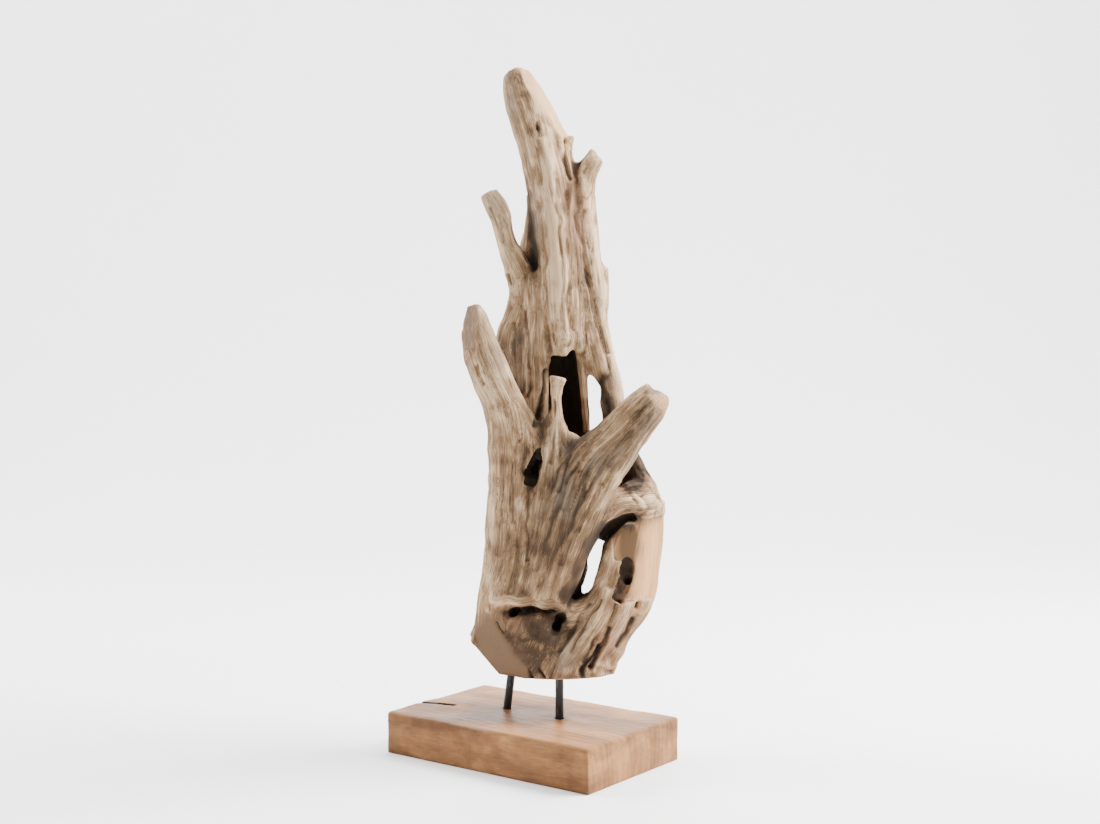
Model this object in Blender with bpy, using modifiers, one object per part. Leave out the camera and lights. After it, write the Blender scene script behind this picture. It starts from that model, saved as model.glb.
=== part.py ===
"""Weathered teak root wood, held upright on two steel pins above a sawn teak plinth.

The plinth's underside is centred on the origin, with its long side along X. The
branch is drawn as it is seen from its front, which is turned away from the
plinth's front by FRONT_TURN. Each ridge of the wood is one strand: a curve that
follows the grain, with a radius at each point. The strands are grown together
into one body, hollows are cut into it, and its sawn and sanded faces are cut flat.
"""

import math

import bmesh
import bpy
from mathutils import Euler, Matrix, Vector, noise

MM = 0.001

# The plinth, a block sawn from one plank.
PLINTH_LENGTH = 0.302
PLINTH_WIDTH = 0.188
PLINTH_HEIGHT = 0.0512
PLINTH_EDGE = 0.0025
PLINTH_CELL = 0.012
PLINTH_WAVE = 0.0012
PLINTH_WAVES = 16
PLINTH_WAVE_SHIFTS = ((0, 0, 0), (5.3, 1.7, 2.9), (2.1, 7.9, 4.3))
CRACK_START = (-0.153, -0.036)
CRACK_END = (-0.101, -0.0215)
CRACK_WIDTH = 0.007
CRACK_DEPTH = 0.020

# The pins, plain round steel rod set in drilled holes.
PIN_RADIUS = 0.005
PIN_CLEARANCE = 0.0003
PIN_FEET = {"pin_left": (-0.0430, 0.0065), "pin_right": (0.0402, 0.0026)}
PIN_LEANS = {"pin_left": 7.0, "pin_right": 0.0}
PIN_IN_PLINTH = 0.030
PIN_IN_BRANCH = 0.026
PIN_SIDES = 32

# The branch: where its sawn foot is, and how finely it is made.
FOOT_HEIGHT = 0.1045
FRONT_TURN = math.radians(36.9)
VOXEL = 0.0026
SMOOTHING = 4
STRAND_SIDES = 3
STRAND_STEPS = 5
TRIANGLES = 9000

# The eye that the front view is drawn from, in the branch's own frame, and the
# distance of the drawing from it. EYE_RISE is how far the eye's centre line
# passes above the drawing's zero height.
EYE = Vector((0.0224, -1.8374, 0.495))
EYE_TILT = math.radians(2.4)
DRAWN_AT = 1.8334
EYE_RISE = 0.3216

# Strands, as points (across, up, back, radius) in millimetres. Across and up are
# read on the drawing and back is the distance behind the middle of the plinth.
TRUNK = {
    "main_ridge": [(-43, 733, -4, 8), (-35, 708, -8, 14), (-24, 674, -10, 16), (-13, 636, -13, 15),
                   (-2, 588, -17, 14), (5, 546, -21, 14), (10, 504, -24, 14), (13, 456, -25, 14),
                   (14, 396, -25, 9), (13, 387, -26, 3)],
    "spike_left": [(-46, 732, 2, 6), (-44, 702, 2, 9), (-40, 679, 2, 9), (-32, 652, 1, 10),
                   (-26, 626, 0, 10), (-18, 600, -2, 10), (-10, 570, -5, 10), (-4, 534, -10, 11),
                   (0, 492, -16, 11), (0, 450, -19, 11), (4, 402, -20, 7), (3, 392, -20, 4)],
    "spike_right": [(-35, 731, 4, 7), (-21, 711, 4, 12), (-2, 672, 4, 13), (14, 624, 0, 12),
                    (25, 552, -7, 12), (37, 474, -11, 11), (50, 406, -9, 11), (65, 355, -3, 9),
                    (78, 307, 2, 7)],
    "spike_back": [(-41, 731, 6, 8), (-37, 712, 10, 12), (-25, 682, 16, 14), (-11, 636, 20, 18),
                   (2, 588, 24, 20), (14, 528, 27, 22), (20, 468, 30, 22), (22, 425, 32, 18)],
    "middle_ridge": [(29, 612, -2, 6), (23, 576, -12, 7), (24, 528, -17, 8), (28, 480, -20, 9),
                     (31, 434, -20, 8), (34, 404, -17, 5), (35, 396, -17, 3)],
    "right_ridge": [(44, 610, 0, 8), (40, 588, -2, 9), (38, 558, -4, 9), (43, 530, -4, 10),
                    (48, 504, -6, 10), (53, 474, -6, 10), (55, 450, -6, 9), (60, 426, -5, 9),
                    (67, 396, -3, 9), (74, 366, -1, 9), (80, 336, 1, 8), (85, 307, 4, 8)],
    "right_wall": [(41, 600, 8, 6), (43, 558, 10, 10), (46, 516, 12, 12), (54, 468, 14, 12),
                   (60, 426, 17, 10), (67, 390, 19, 9), (72, 354, 21, 9), (77, 318, 23, 9),
                   (90, 282, 24, 10), (104, 252, 22, 11), (115, 216, 16, 15), (114, 180, 10, 16),
                   (106, 144, 4, 10)],
    "right_wall_back": [(36, 618, 16, 8), (37, 576, 24, 12), (41, 528, 30, 14), (48, 468, 36, 14),
                        (56, 426, 38, 11), (64, 390, 39, 8), (70, 354, 41, 8), (73, 318, 43, 8),
                        (84, 282, 43, 10), (101, 250, 40, 11), (112, 216, 32, 17),
                        (110, 176, 26, 16), (98, 136, 20, 10)],
    "right_wall_inside": [(64, 360, 8, 5), (67, 336, 10, 5), (68, 304, 12, 6)],
    "left_wall": [(-37, 482, -2, 9), (-35, 462, -4, 11), (-42, 436, -4, 13), (-49, 418, -5, 14),
                  (-52, 394, -8, 15), (-46, 348, -8, 15), (-38, 312, -6, 14), (-34, 276, 0, 14)],
    "left_wall_front": [(-22, 487, -8, 8), (-19, 450, -13, 12), (-23, 402, -14, 12),
                        (-24, 354, -12, 11), (-22, 312, -10, 10), (-18, 282, -8, 8)],
    "window_edge": [(-7, 490, -14, 8), (-10, 444, -18, 9), (-10, 396, -18, 7), (-9, 354, -16, 6),
                    (-8, 312, -14, 6), (-6, 270, -12, 6)],
    "left_core": [(-34, 456, 10, 14), (-38, 396, 12, 18), (-38, 336, 14, 20), (-36, 276, 14, 22)],
    "fork": [(54, 633, 0, 9), (48, 620, 0, 8), (42, 606, 0, 9), (39, 576, -2, 9)],
    "shard": [(25, 650, 4, 2), (22, 636, 4, 4), (19, 619, 2, 7), (19, 594, 0, 8)],
    "knob": [(66, 496, 2, 3), (65, 485, 4, 4), (62, 468, 4, 6), (59, 450, 4, 7)],
}
THIN_BRANCH = {
    "thin_branch": [(-74, 584, -18, 8.5), (-66, 569, -17, 11), (-59, 551, -16, 10.5),
                    (-53, 528, -13, 11.5), (-46, 511, -9, 13), (-37, 486, -5, 13),
                    (-32, 456, -2, 14)],
    "notch_piece": [(-20, 583, 12, 5), (-18, 558, 14, 7), (-20, 528, 16, 9), (-22, 502, 18, 12),
                    (-17, 468, 22, 16)],
    "notch_wall": [(-13, 581, 6, 6), (-11, 546, 8, 7), (-8, 510, 6, 8), (-6, 474, 4, 10)],
}
LEFT_LIMB = {
    "left_limb": [(-95, 450, -44, 6), (-91, 430, -44, 13), (-84, 404, -45, 17), (-76, 380, -46, 19),
                  (-66, 354, -46, 20), (-56, 332, -44, 20), (-49, 306, -40, 23), (-47, 275, -32, 26),
                  (-47, 228, -24, 25), (-50, 180, -16, 26), (-53, 132, -8, 27), (-58, 84, -2, 29),
                  (-62, 42, 0, 31), (-66, -6, 4, 31)],
    "left_limb_outer": [(-96, 420, -36, 9), (-91, 396, -34, 11), (-82, 362, -32, 12),
                        (-67, 334, -28, 12), (-62, 300, -22, 12), (-61, 264, -14, 12),
                        (-59, 228, -6, 13), (-59, 180, 4, 15), (-62, 132, 12, 16),
                        (-68, 84, 18, 18), (-74, 44, 22, 19), (-76, -4, 24, 18)],
    "left_limb_inner": [(-87, 446, -48, 3), (-83, 422, -50, 8), (-74, 402, -50, 9),
                        (-65, 378, -50, 10), (-55, 353, -50, 11), (-44, 330, -47, 12),
                        (-34, 310, -42, 12), (-24, 288, -36, 10), (-17, 264, -34, 7)],
    "left_limb_lip": [(-28, 312, -40, 6), (-19, 298, -40, 5), (-13, 282, -38, 4),
                      (-8, 264, -34, 4), (-10, 247, -30, 4)],
}
CENTRE = {
    "stump": [(10, 363, -44, 9.5), (8, 353, -44, 7), (7, 340, -44, 6), (8, 322, -44, 7.5),
              (7, 298, -43, 10), (4, 264, -40, 13), (-1, 228, -36, 15), (-8, 186, -32, 16),
              (-14, 144, -30, 16)],
    "stump_side": [(19, 293, -38, 6), (26, 281, -36, 10), (29, 257, -36, 14), (22, 221, -34, 16),
                   (12, 180, -34, 18), (2, 138, -34, 18)],
    "flake": [(-4, 313, -38, 2), (-6, 290, -38, 5), (-4, 269, -38, 6), (-6, 242, -36, 9),
              (-14, 210, -32, 12), (-20, 168, -30, 13)],
    "fan_left": [(-40, 190, -20, 12), (-46, 144, -24, 18), (-54, 114, -24, 16), (-60, 94, -26, 12)],
    "fan_middle": [(-17, 236, -26, 8), (-20, 204, -30, 13), (-24, 174, -27, 14), (-31, 132, -27, 16),
                   (-40, 99, -30, 13)],
    "fan_right": [(4, 222, -34, 8), (0, 192, -38, 14), (-8, 150, -34, 17), (-17, 114, -34, 15),
                  (-22, 94, -36, 9)],
    "lip": [(-74, 96, -20, 4), (-62, 93, -35, 5), (-50, 96, -40, 4), (-36, 93, -44, 5),
            (-20, 95, -46, 4), (-6, 91, -47, 5), (8, 92, -46, 4), (17, 86, -43, 5)],
}
RIGHT_LIMB = {
    "right_limb_upper": [(124, 347, -76, 9), (109, 334, -74, 13), (92, 316, -69, 16),
                         (72, 295, -63, 18), (52, 277, -58, 18), (36, 256, -53, 18),
                         (22, 222, -48, 19), (10, 180, -42, 20), (-1, 138, -38, 20),
                         (-12, 100, -32, 18)],
    "right_limb_lower": [(138, 340, -74, 9), (121, 319, -70, 14), (101, 295, -65, 16),
                         (82, 270, -60, 19), (66, 246, -56, 20), (50, 212, -52, 18),
                         (36, 180, -48, 17), (24, 149, -45, 16), (14, 120, -42, 15),
                         (6, 98, -36, 12)],
    "right_limb_back": [(127, 341, -60, 9), (110, 322, -54, 13), (91, 301, -46, 17),
                        (72, 277, -38, 19), (55, 252, -30, 22), (38, 216, -22, 26),
                        (17, 162, -14, 28), (-2, 108, -6, 28)],
    "shelf": [(120, 216, -14, 12), (106, 214, -24, 13), (86, 212, -33, 13), (66, 197, -38, 12),
              (48, 181, -38, 11), (35, 160, -37, 11), (26, 135, -36, 10), (18, 112, -33, 9),
              (10, 95, -30, 8)],
    "shelf_back": [(120, 218, 8, 16), (96, 216, 0, 18), (70, 206, -6, 17), (48, 186, -8, 14),
                   (34, 162, -8, 14), (28, 132, -8, 14), (20, 106, -8, 12)],
    "shelf_root": [(103, 202, 14, 14), (86, 192, 10, 14), (72, 180, 6, 10)],
}
LOOP = {
    "loop_outer": [(114, 216, 2, 18), (112, 180, 2, 23), (108, 144, 2, 24), (102, 103, 0, 24),
                   (82, 70, -4, 24), (60, 43, -10, 24), (30, 34, -18, 22)],
    "loop_front": [(101, 190, -18, 14), (95, 162, -22, 16), (89, 130, -26, 17), (78, 95, -28, 18),
                   (59, 62, -30, 18), (30, 41, -30, 16)],
    "loop_inner": [(84, 175, -22, 13), (76, 149, -26, 12), (70, 125, -28, 12), (58, 100, -30, 12),
                   (40, 83, -32, 13), (19, 77, -32, 12)],
    "loop_back": [(106, 216, 28, 18), (96, 180, 30, 20), (89, 144, 30, 21), (79, 108, 28, 23),
                  (60, 77, 24, 26), (36, 60, 20, 26)],
    "loop_rib_low": [(36, 14, -38, 6), (50, 30, -38, 8), (67, 53, -38, 8), (84, 82, -38, 8),
                     (96, 108, -34, 7)],
    "loop_rib_high": [(12, 14, -44, 6), (26, 34, -46, 8), (43, 55, -46, 9), (60, 82, -44, 8),
                      (71, 108, -40, 7)],
}
BASE = {
    "foot_middle": [(-84, 30, 24, 24), (-62, 24, 26, 30), (-30, 24, 12, 34), (6, 24, 0, 34),
                    (46, 30, -4, 28), (62, 34, -6, 22)],
    "foot_front": [(-80, 24, 0, 22), (-58, 20, -10, 26), (-24, 16, -22, 26), (8, 14, -27, 26),
                   (48, 20, -22, 22), (62, 26, -16, 16)],
    "foot_right": [(30, 18, -18, 20), (54, 20, -14, 17), (75, 16, -8, 12)],
    "foot_back": [(-70, 24, 40, 24), (-48, 20, 38, 30), (-6, 20, 30, 34), (42, 28, 16, 28)],
    "knot_bed": [(-54, 70, -10, 20), (-30, 66, -16, 22), (0, 70, -18, 22), (26, 74, -16, 18)],
    "knot_bed_low": [(-50, 46, -12, 20), (-24, 44, -20, 20), (6, 44, -22, 20), (34, 50, -20, 18)],
    "knot": [(-26, 59, -36, 5), (-23, 70, -37, 5), (-13, 72, -38, 5), (-5, 64, -38, 5),
             (-6, 50, -38, 5), (-17, 46, -38, 5), (-25, 52, -37, 5)],
    "knot_back": [(-46, 70, 42, 32), (-6, 67, 38, 34), (36, 72, 28, 28)],
}
BACK = {
    "back_left": [(-50, -20, 42, 26), (-48, 40, 42, 28), (-47, 132, 42, 28), (-47, 216, 40, 26),
                  (-43, 300, 38, 24), (-40, 372, 34, 21), (-32, 444, 30, 18), (-23, 504, 24, 14),
                  (-14, 558, 18, 9), (-12, 600, 12, 6)],
    "back_middle": [(-8, -20, 42, 30), (-8, 40, 44, 31), (-6, 144, 46, 29), (-5, 228, 50, 22),
                    (-6, 312, 56, 15), (-1, 396, 54, 17), (6, 468, 46, 20), (7, 540, 36, 16),
                    (-2, 612, 26, 12), (-17, 666, 18, 8), (-28, 696, 12, 5)],
    "back_right": [(40, -8, 24, 24), (36, 42, 32, 26), (22, 132, 34, 24), (19, 216, 48, 18),
                   (13, 288, 57, 15), (14, 360, 57, 14), (24, 432, 52, 17), (28, 504, 44, 20),
                   (22, 576, 34, 18), (10, 624, 24, 12), (-5, 662, 14, 7)],
    "back_slope": [(108, 180, 32, 18), (84, 228, 44, 17), (57, 264, 50, 15), (37, 306, 54, 14),
                   (31, 372, 54, 11), (37, 432, 50, 13), (41, 492, 42, 13), (40, 552, 30, 10),
                   (41, 588, 18, 7)],
    "core": [(7, 72, 16, 26), (14, 144, 16, 24), (24, 198, 20, 22), (34, 242, 32, 18),
             (29, 282, 46, 14)],
    "back_shoulder": [(49, 306, 50, 6), (56, 286, 48, 12), (67, 264, 46, 16), (79, 234, 42, 18),
                      (94, 210, 36, 18)],
    "back_shoulder_right": [(80, 300, 45, 7), (90, 264, 46, 13), (99, 228, 42, 17)],
    "rib_left": [(-30, -20, 64, 9), (-28, 40, 68, 9), (-26, 140, 68, 10), (-28, 240, 60, 8),
                 (-24, 330, 56, 7), (-18, 420, 50, 7), (-8, 500, 44, 6)],
    "rib_middle": [(16, -20, 56, 9), (12, 60, 62, 9), (6, 160, 64, 9), (2, 250, 64, 7), (6, 340, 66, 7),
                   (14, 420, 62, 7), (20, 500, 56, 7), (16, 560, 46, 6), (4, 620, 32, 5)],
    "rib_right": [(84, 100, 36, 5), (96, 140, 44, 8), (102, 176, 46, 8), (96, 220, 54, 8),
                  (72, 270, 58, 7), (52, 310, 60, 6), (44, 380, 60, 6), (48, 440, 54, 6)],
}

# The thin wall that stands in the window is a stack of strands from front to back.
# Each layer is how far back it is, its radius, and how far it is moved across.
FIN_PATH = [(37, 402), (40, 371), (43, 336), (46, 298)]
FIN_LAYERS = ((-4, 5, 0), (11, 5, -1), (26, 6, -4), (40, 8, -8))

# The slot under the shelf is a stack of hollow strands in the same way.
SLOT_PATH = [(106, 197), (90, 194), (77, 186), (65, 172)]
SLOT_LAYERS = ((-62, 4, 0), (-53, 5, 0), (-44, 6, 0), (-35, 7, 0), (-26, 7, 0), (-17, 6, 0))

# Hollows, cut out as strands are added.
HOLLOWS = {
    "pocket": [(-12, 292, -30, 4), (-14, 272, -30, 8), (-18, 254, -30, 11), (-22, 240, -30, 9)],
    "pocket_deep": [(-16, 266, -8, 9), (-20, 250, -8, 12), (-24, 238, -8, 8)],
    "left_cavity": [(-60, 83, -50, 2), (-50, 80, -40, 5), (-43, 82, -30, 7), (-36, 84, -18, 7)],
    "middle_cavity": [(16, 73, -64, 5), (11, 67, -52, 8), (7, 66, -36, 10), (4, 70, -18, 10)],
    "under_lip": [(-72, 84, -38, 4), (-58, 83, -50, 5), (-36, 83, -56, 5), (-16, 83, -58, 4),
                  (2, 80, -58, 5), (18, 77, -56, 4)],
    "above_shelf": [(100, 254, -30, 6), (104, 244, -20, 10), (100, 238, -8, 9)],
    "dish": [(79, 137, -54, 7), (89, 124, -52, 10), (88, 104, -54, 8)],
    "worm_hole": [(92, 124, -50, 5), (95, 124, -30, 6), (97, 126, -12, 5)],
}

# Sawn and sanded faces: a point on the face, the way it faces, and its reach.
FLATS = {
    "left_limb_saw": ((-97, 427, -47), (-0.81, -0.57, 0.08), 60),
    "right_limb_saw": ((130, 329, -84), (0.66, -0.66, 0.36), 60),
    "spike_facet": ((-2, 691, 4), (0.76, -0.46, 0.45), 90),
    "loop_facet": ((120, 150, -11), (0.60, -0.80, 0.02), 110),
    "loop_facet_front": ((95, 162, -34), (0.20, -0.97, 0.10), 60),
    "foot_facet": ((-50, 30, -36), (-0.60, -0.78, -0.15), 100),
    "foot_chamfer": ((-74, 25, 0), (-0.72, 0.0, -0.69), 120),
}

# Colours are linear, then roughness and metallic.
FINISHES = {
    "weathered_teak": ((0.38, 0.27, 0.18), 0.82, 0.0),
    "sawn_teak": ((0.45, 0.27, 0.16), 0.55, 0.0),
    "black_steel": ((0.015, 0.014, 0.013), 0.45, 0.6),
}


def clear_scene():
    for obj in list(bpy.data.objects):
        bpy.data.objects.remove(obj)


def new_collection(name):
    group = bpy.data.collections.new(name)
    bpy.context.scene.collection.children.link(group)
    return group


def finish(name):
    colour, roughness, metallic = FINISHES[name]
    material = bpy.data.materials.new(name)
    material.use_nodes = True
    shader = material.node_tree.nodes["Principled BSDF"]
    shader.inputs["Base Color"].default_value = (*colour, 1.0)
    shader.inputs["Roughness"].default_value = roughness
    shader.inputs["Metallic"].default_value = metallic
    return material


def seen(across, up, back):
    """The point on the line of sight through (across, up) on the drawing, all in millimetres."""
    side = across * MM / DRAWN_AT
    rise = (up * MM - EYE_RISE) / DRAWN_AT
    ahead = math.cos(EYE_TILT) + rise * math.sin(EYE_TILT)
    reach = (back * MM - EYE.y) / ahead
    height = EYE.z + reach * (rise * math.cos(EYE_TILT) - math.sin(EYE_TILT))
    return Vector((EYE.x + reach * side, back * MM, height))


def mesh_object(name, mesh, group):
    obj = bpy.data.objects.new(name, mesh)
    group.objects.link(obj)
    return obj


def move_to(obj, group):
    for owner in obj.users_collection:
        owner.objects.unlink(obj)
    group.objects.link(obj)
    return obj


def make_cutter(obj):
    obj.hide_render = True
    obj.display_type = "WIRE"
    return obj


def bake(obj):
    """Replace an object's mesh by what its modifiers make of it."""
    bpy.context.view_layer.update()
    graph = bpy.context.evaluated_depsgraph_get()
    mesh = bpy.data.meshes.new_from_object(obj.evaluated_get(graph))
    obj.modifiers.clear()
    obj.data = mesh
    return obj


def strand_mesh(name, points):
    """One strand as a closed mesh: a smooth curve with a radius at each point."""
    curve = bpy.data.curves.new(name, "CURVE")
    curve.dimensions = "3D"
    curve.bevel_depth = 1.0
    curve.bevel_resolution = STRAND_SIDES
    curve.resolution_u = STRAND_STEPS
    curve.use_fill_caps = True
    spline = curve.splines.new("BEZIER")
    spline.bezier_points.add(len(points) - 1)
    for knot, (across, up, back, radius) in zip(spline.bezier_points, points):
        knot.co = seen(across, up, back)
        knot.radius = radius * MM
        knot.handle_left_type = "AUTO"
        knot.handle_right_type = "AUTO"
    obj = bpy.data.objects.new(name, curve)
    bpy.context.scene.collection.objects.link(obj)
    bpy.context.view_layer.update()
    graph = bpy.context.evaluated_depsgraph_get()
    mesh = bpy.data.meshes.new_from_object(obj.evaluated_get(graph))
    bpy.data.objects.remove(obj)
    work = bmesh.new()
    work.from_mesh(mesh)
    bmesh.ops.remove_doubles(work, verts=work.verts, dist=1e-6)
    bmesh.ops.recalc_face_normals(work, faces=work.faces)
    work.to_mesh(mesh)
    work.free()
    return mesh


def all_strands():
    strands = {}
    for region in (TRUNK, THIN_BRANCH, LEFT_LIMB, CENTRE, RIGHT_LIMB, LOOP, BASE, BACK):
        strands.update(region)
    strands.update(stack("fin", FIN_PATH, FIN_LAYERS))
    return strands


def stack(name, path, layers):
    """Strands along one path, one behind the other."""
    return {f"{name}_{number}": [(across + shift, up, back, radius) for across, up in path]
            for number, (back, radius, shift) in enumerate(layers)}


def keep_largest_shell(mesh):
    """Drop loose scraps and the skins of sealed hollows, which fills them."""
    work = bmesh.new()
    work.from_mesh(mesh)
    left = set(work.verts)
    shells = []
    while left:
        shell = {left.pop()}
        front = list(shell)
        while front:
            vert = front.pop()
            for edge in vert.link_edges:
                other = edge.other_vert(vert)
                if other in left:
                    left.remove(other)
                    shell.add(other)
                    front.append(other)
        shells.append(shell)
    largest = max(shells, key=len)
    scraps = [vert for vert in work.verts if vert not in largest]
    bmesh.ops.delete(work, geom=scraps, context="VERTS")
    work.to_mesh(mesh)
    work.free()


def flat_cutter(name, point, facing, reach, group):
    """A block on the far side of a flat face."""
    size = reach * MM
    work = bmesh.new()
    bmesh.ops.create_cube(work, size=size)
    turn = Vector(facing).to_track_quat("Z", "Y").to_matrix().to_4x4()
    place = Matrix.Translation(seen(*point)) @ turn @ Matrix.Translation((0, 0, size / 2))
    bmesh.ops.transform(work, matrix=place, verts=work.verts)
    mesh = bpy.data.meshes.new(name)
    work.to_mesh(mesh)
    work.free()
    return make_cutter(mesh_object(name, mesh, group))


def foot_cutter(group):
    """A block whose top is the plane that the branch's foot is sawn to."""
    bpy.ops.mesh.primitive_cube_add(size=0.5, location=(0, 0, FOOT_HEIGHT - 0.25))
    obj = bpy.context.object
    obj.name = "foot_saw"
    return make_cutter(move_to(obj, group))


def pin_turn(name):
    """A pin leans sideways, as seen from the branch's front."""
    lean = Euler((0, math.radians(PIN_LEANS[name]), 0)).to_matrix()
    front = Euler((0, 0, FRONT_TURN)).to_matrix()
    return front @ lean


def pin_shape(name, label, radius, spare, group):
    """A rod on a pin's axis. Spare is how much longer it is at each end."""
    turn = pin_turn(name)
    axis = turn @ Vector((0, 0, 1))
    foot = Vector((*PIN_FEET[name], PLINTH_HEIGHT))
    low = -PIN_IN_PLINTH - spare
    high = (FOOT_HEIGHT - PLINTH_HEIGHT + PIN_IN_BRANCH) / axis.z + spare
    bpy.ops.mesh.primitive_cylinder_add(vertices=PIN_SIDES, radius=radius, depth=high - low)
    obj = bpy.context.object
    obj.name = label
    obj.location = foot + axis * (low + high) / 2
    obj.rotation_euler = turn.to_euler()
    return move_to(obj, group)


def pin_holes(group):
    holes = []
    for name in PIN_FEET:
        hole = pin_shape(name, name + "_hole", PIN_RADIUS + PIN_CLEARANCE, PIN_CLEARANCE, group)
        holes.append(make_cutter(hole))
    return holes


def cut(obj, cutters):
    for cutter in cutters:
        modifier = obj.modifiers.new(cutter.name, "BOOLEAN")
        modifier.operation = "DIFFERENCE"
        modifier.solver = "MANIFOLD"
        modifier.object = cutter


def build_branch(parts, cutters, holes):
    """Grow the strands together, hollow the body out, and cut its flat faces."""
    front = bpy.data.objects.new("branch_front", None)
    front.rotation_euler = (0, 0, FRONT_TURN)
    parts.objects.link(front)
    work = bmesh.new()
    for name, points in all_strands().items():
        work.from_mesh(strand_mesh(name, points))
    mesh = bpy.data.meshes.new("teak_branch")
    work.to_mesh(mesh)
    work.free()
    branch = mesh_object("teak_branch", mesh, parts)
    branch.parent = front

    grow = branch.modifiers.new("grow", "REMESH")
    grow.mode = "VOXEL"
    grow.voxel_size = VOXEL
    soften = branch.modifiers.new("soften", "SMOOTH")
    soften.iterations = SMOOTHING
    bake(branch)
    keep_largest_shell(branch.data)

    hollows = []
    for name, points in (HOLLOWS | stack("slot", SLOT_PATH, SLOT_LAYERS)).items():
        hollow = make_cutter(mesh_object(name, strand_mesh(name, points), cutters))
        hollow.parent = front
        hollows.append(hollow)
    cut(branch, hollows)
    bake(branch)
    keep_largest_shell(branch.data)
    thin = branch.modifiers.new("thin", "DECIMATE")
    thin.ratio = TRIANGLES / sum(len(face.vertices) - 2 for face in branch.data.polygons)
    bake(branch)

    flats = []
    for name, (point, facing, reach) in FLATS.items():
        flat = flat_cutter(name, point, facing, reach, cutters)
        flat.parent = front
        flats.append(flat)
    cut(branch, flats + [foot_cutter(cutters)] + holes)
    bake(branch)
    keep_largest_shell(branch.data)
    branch.data.materials.clear()
    branch.data.materials.append(finish("weathered_teak"))
    branch.data.shade_smooth()
    branch.data.set_sharp_from_angle(angle=math.radians(40))
    return branch


def crack_cutter(group):
    """A drying crack: a wedge that narrows inwards and downwards from the plinth's end."""
    start = Vector((*CRACK_START, PLINTH_HEIGHT))
    run = Vector((*CRACK_END, PLINTH_HEIGHT)) - start
    work = bmesh.new()
    bmesh.ops.create_cube(work, size=1)
    for vert in work.verts:
        inner = vert.co.x > 0
        upper = vert.co.z > 0
        narrow = (0.2 if inner else 1.0) * (1.0 if upper else 0.25)
        depth = CRACK_DEPTH * (0.4 if inner else 1.0)
        vert.co = (run.length if inner else 0, vert.co.y * CRACK_WIDTH * narrow,
                   0.002 if upper else -depth)
    mesh = bpy.data.meshes.new("drying_crack")
    work.to_mesh(mesh)
    work.free()
    obj = mesh_object("drying_crack", mesh, group)
    obj.location = start
    obj.rotation_euler = (0, 0, math.atan2(run.y, run.x))
    return make_cutter(obj)


def wander(spot):
    """A smooth push that varies along a face. It is the same in each build."""
    return Vector([noise.noise(spot + Vector(shift)) for shift in PLINTH_WAVE_SHIFTS])


def build_plinth(parts, cutters, holes):
    """A sawn block with soft edges, faces that aren't quite true, and a flat underside."""
    work = bmesh.new()
    bmesh.ops.create_cube(work, size=1)
    bmesh.ops.translate(work, vec=(0, 0, 0.5), verts=work.verts)
    size = Vector((PLINTH_LENGTH, PLINTH_WIDTH, PLINTH_HEIGHT))
    bmesh.ops.scale(work, vec=size, verts=work.verts)
    worn = [edge for edge in work.edges if max(vert.co.z for vert in edge.verts) > 0]
    bmesh.ops.bevel(work, geom=worn, offset=PLINTH_EDGE, segments=2, affect="EDGES", profile=0.5)
    for axis in range(3):
        cuts = round(size[axis] / PLINTH_CELL)
        way = Vector([axis == other for other in range(3)])
        for step in range(1, cuts):
            spot = way * size[axis] * (step / cuts - (0 if axis == 2 else 0.5))
            geom = list(work.verts) + list(work.edges) + list(work.faces)
            bmesh.ops.bisect_plane(work, geom=geom, plane_co=spot, plane_no=way)
    for vert in work.verts:
        rise = vert.co.z / PLINTH_HEIGHT
        vert.co += wander(vert.co * PLINTH_WAVES) * PLINTH_WAVE * rise
    mesh = bpy.data.meshes.new("plinth")
    work.to_mesh(mesh)
    work.free()
    plinth = mesh_object("plinth", mesh, parts)
    cut(plinth, holes + [crack_cutter(cutters)])
    bake(plinth)
    plinth.data.materials.clear()
    plinth.data.materials.append(finish("sawn_teak"))
    return plinth


def build_pins(parts):
    steel = finish("black_steel")
    for name in PIN_FEET:
        pin = pin_shape(name, name, PIN_RADIUS, 0, parts)
        pin.data.materials.append(steel)
        pin.data.shade_smooth()
        pin.data.set_sharp_from_angle(angle=math.radians(40))


def main():
    clear_scene()
    parts = new_collection("teak_branch_on_plinth")
    cutters = new_collection("cutters")
    holes = pin_holes(cutters)
    build_branch(parts, cutters, holes)
    build_plinth(parts, cutters, holes)
    build_pins(parts)


main()
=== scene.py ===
import math

import bpy
import numpy as np
from bpy.props import FloatProperty, FloatVectorProperty, IntProperty, PointerProperty
from mathutils import Matrix, Vector
from mathutils.bvhtree import BVHTree
from mathutils.geometry import interpolate_bezier


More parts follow.
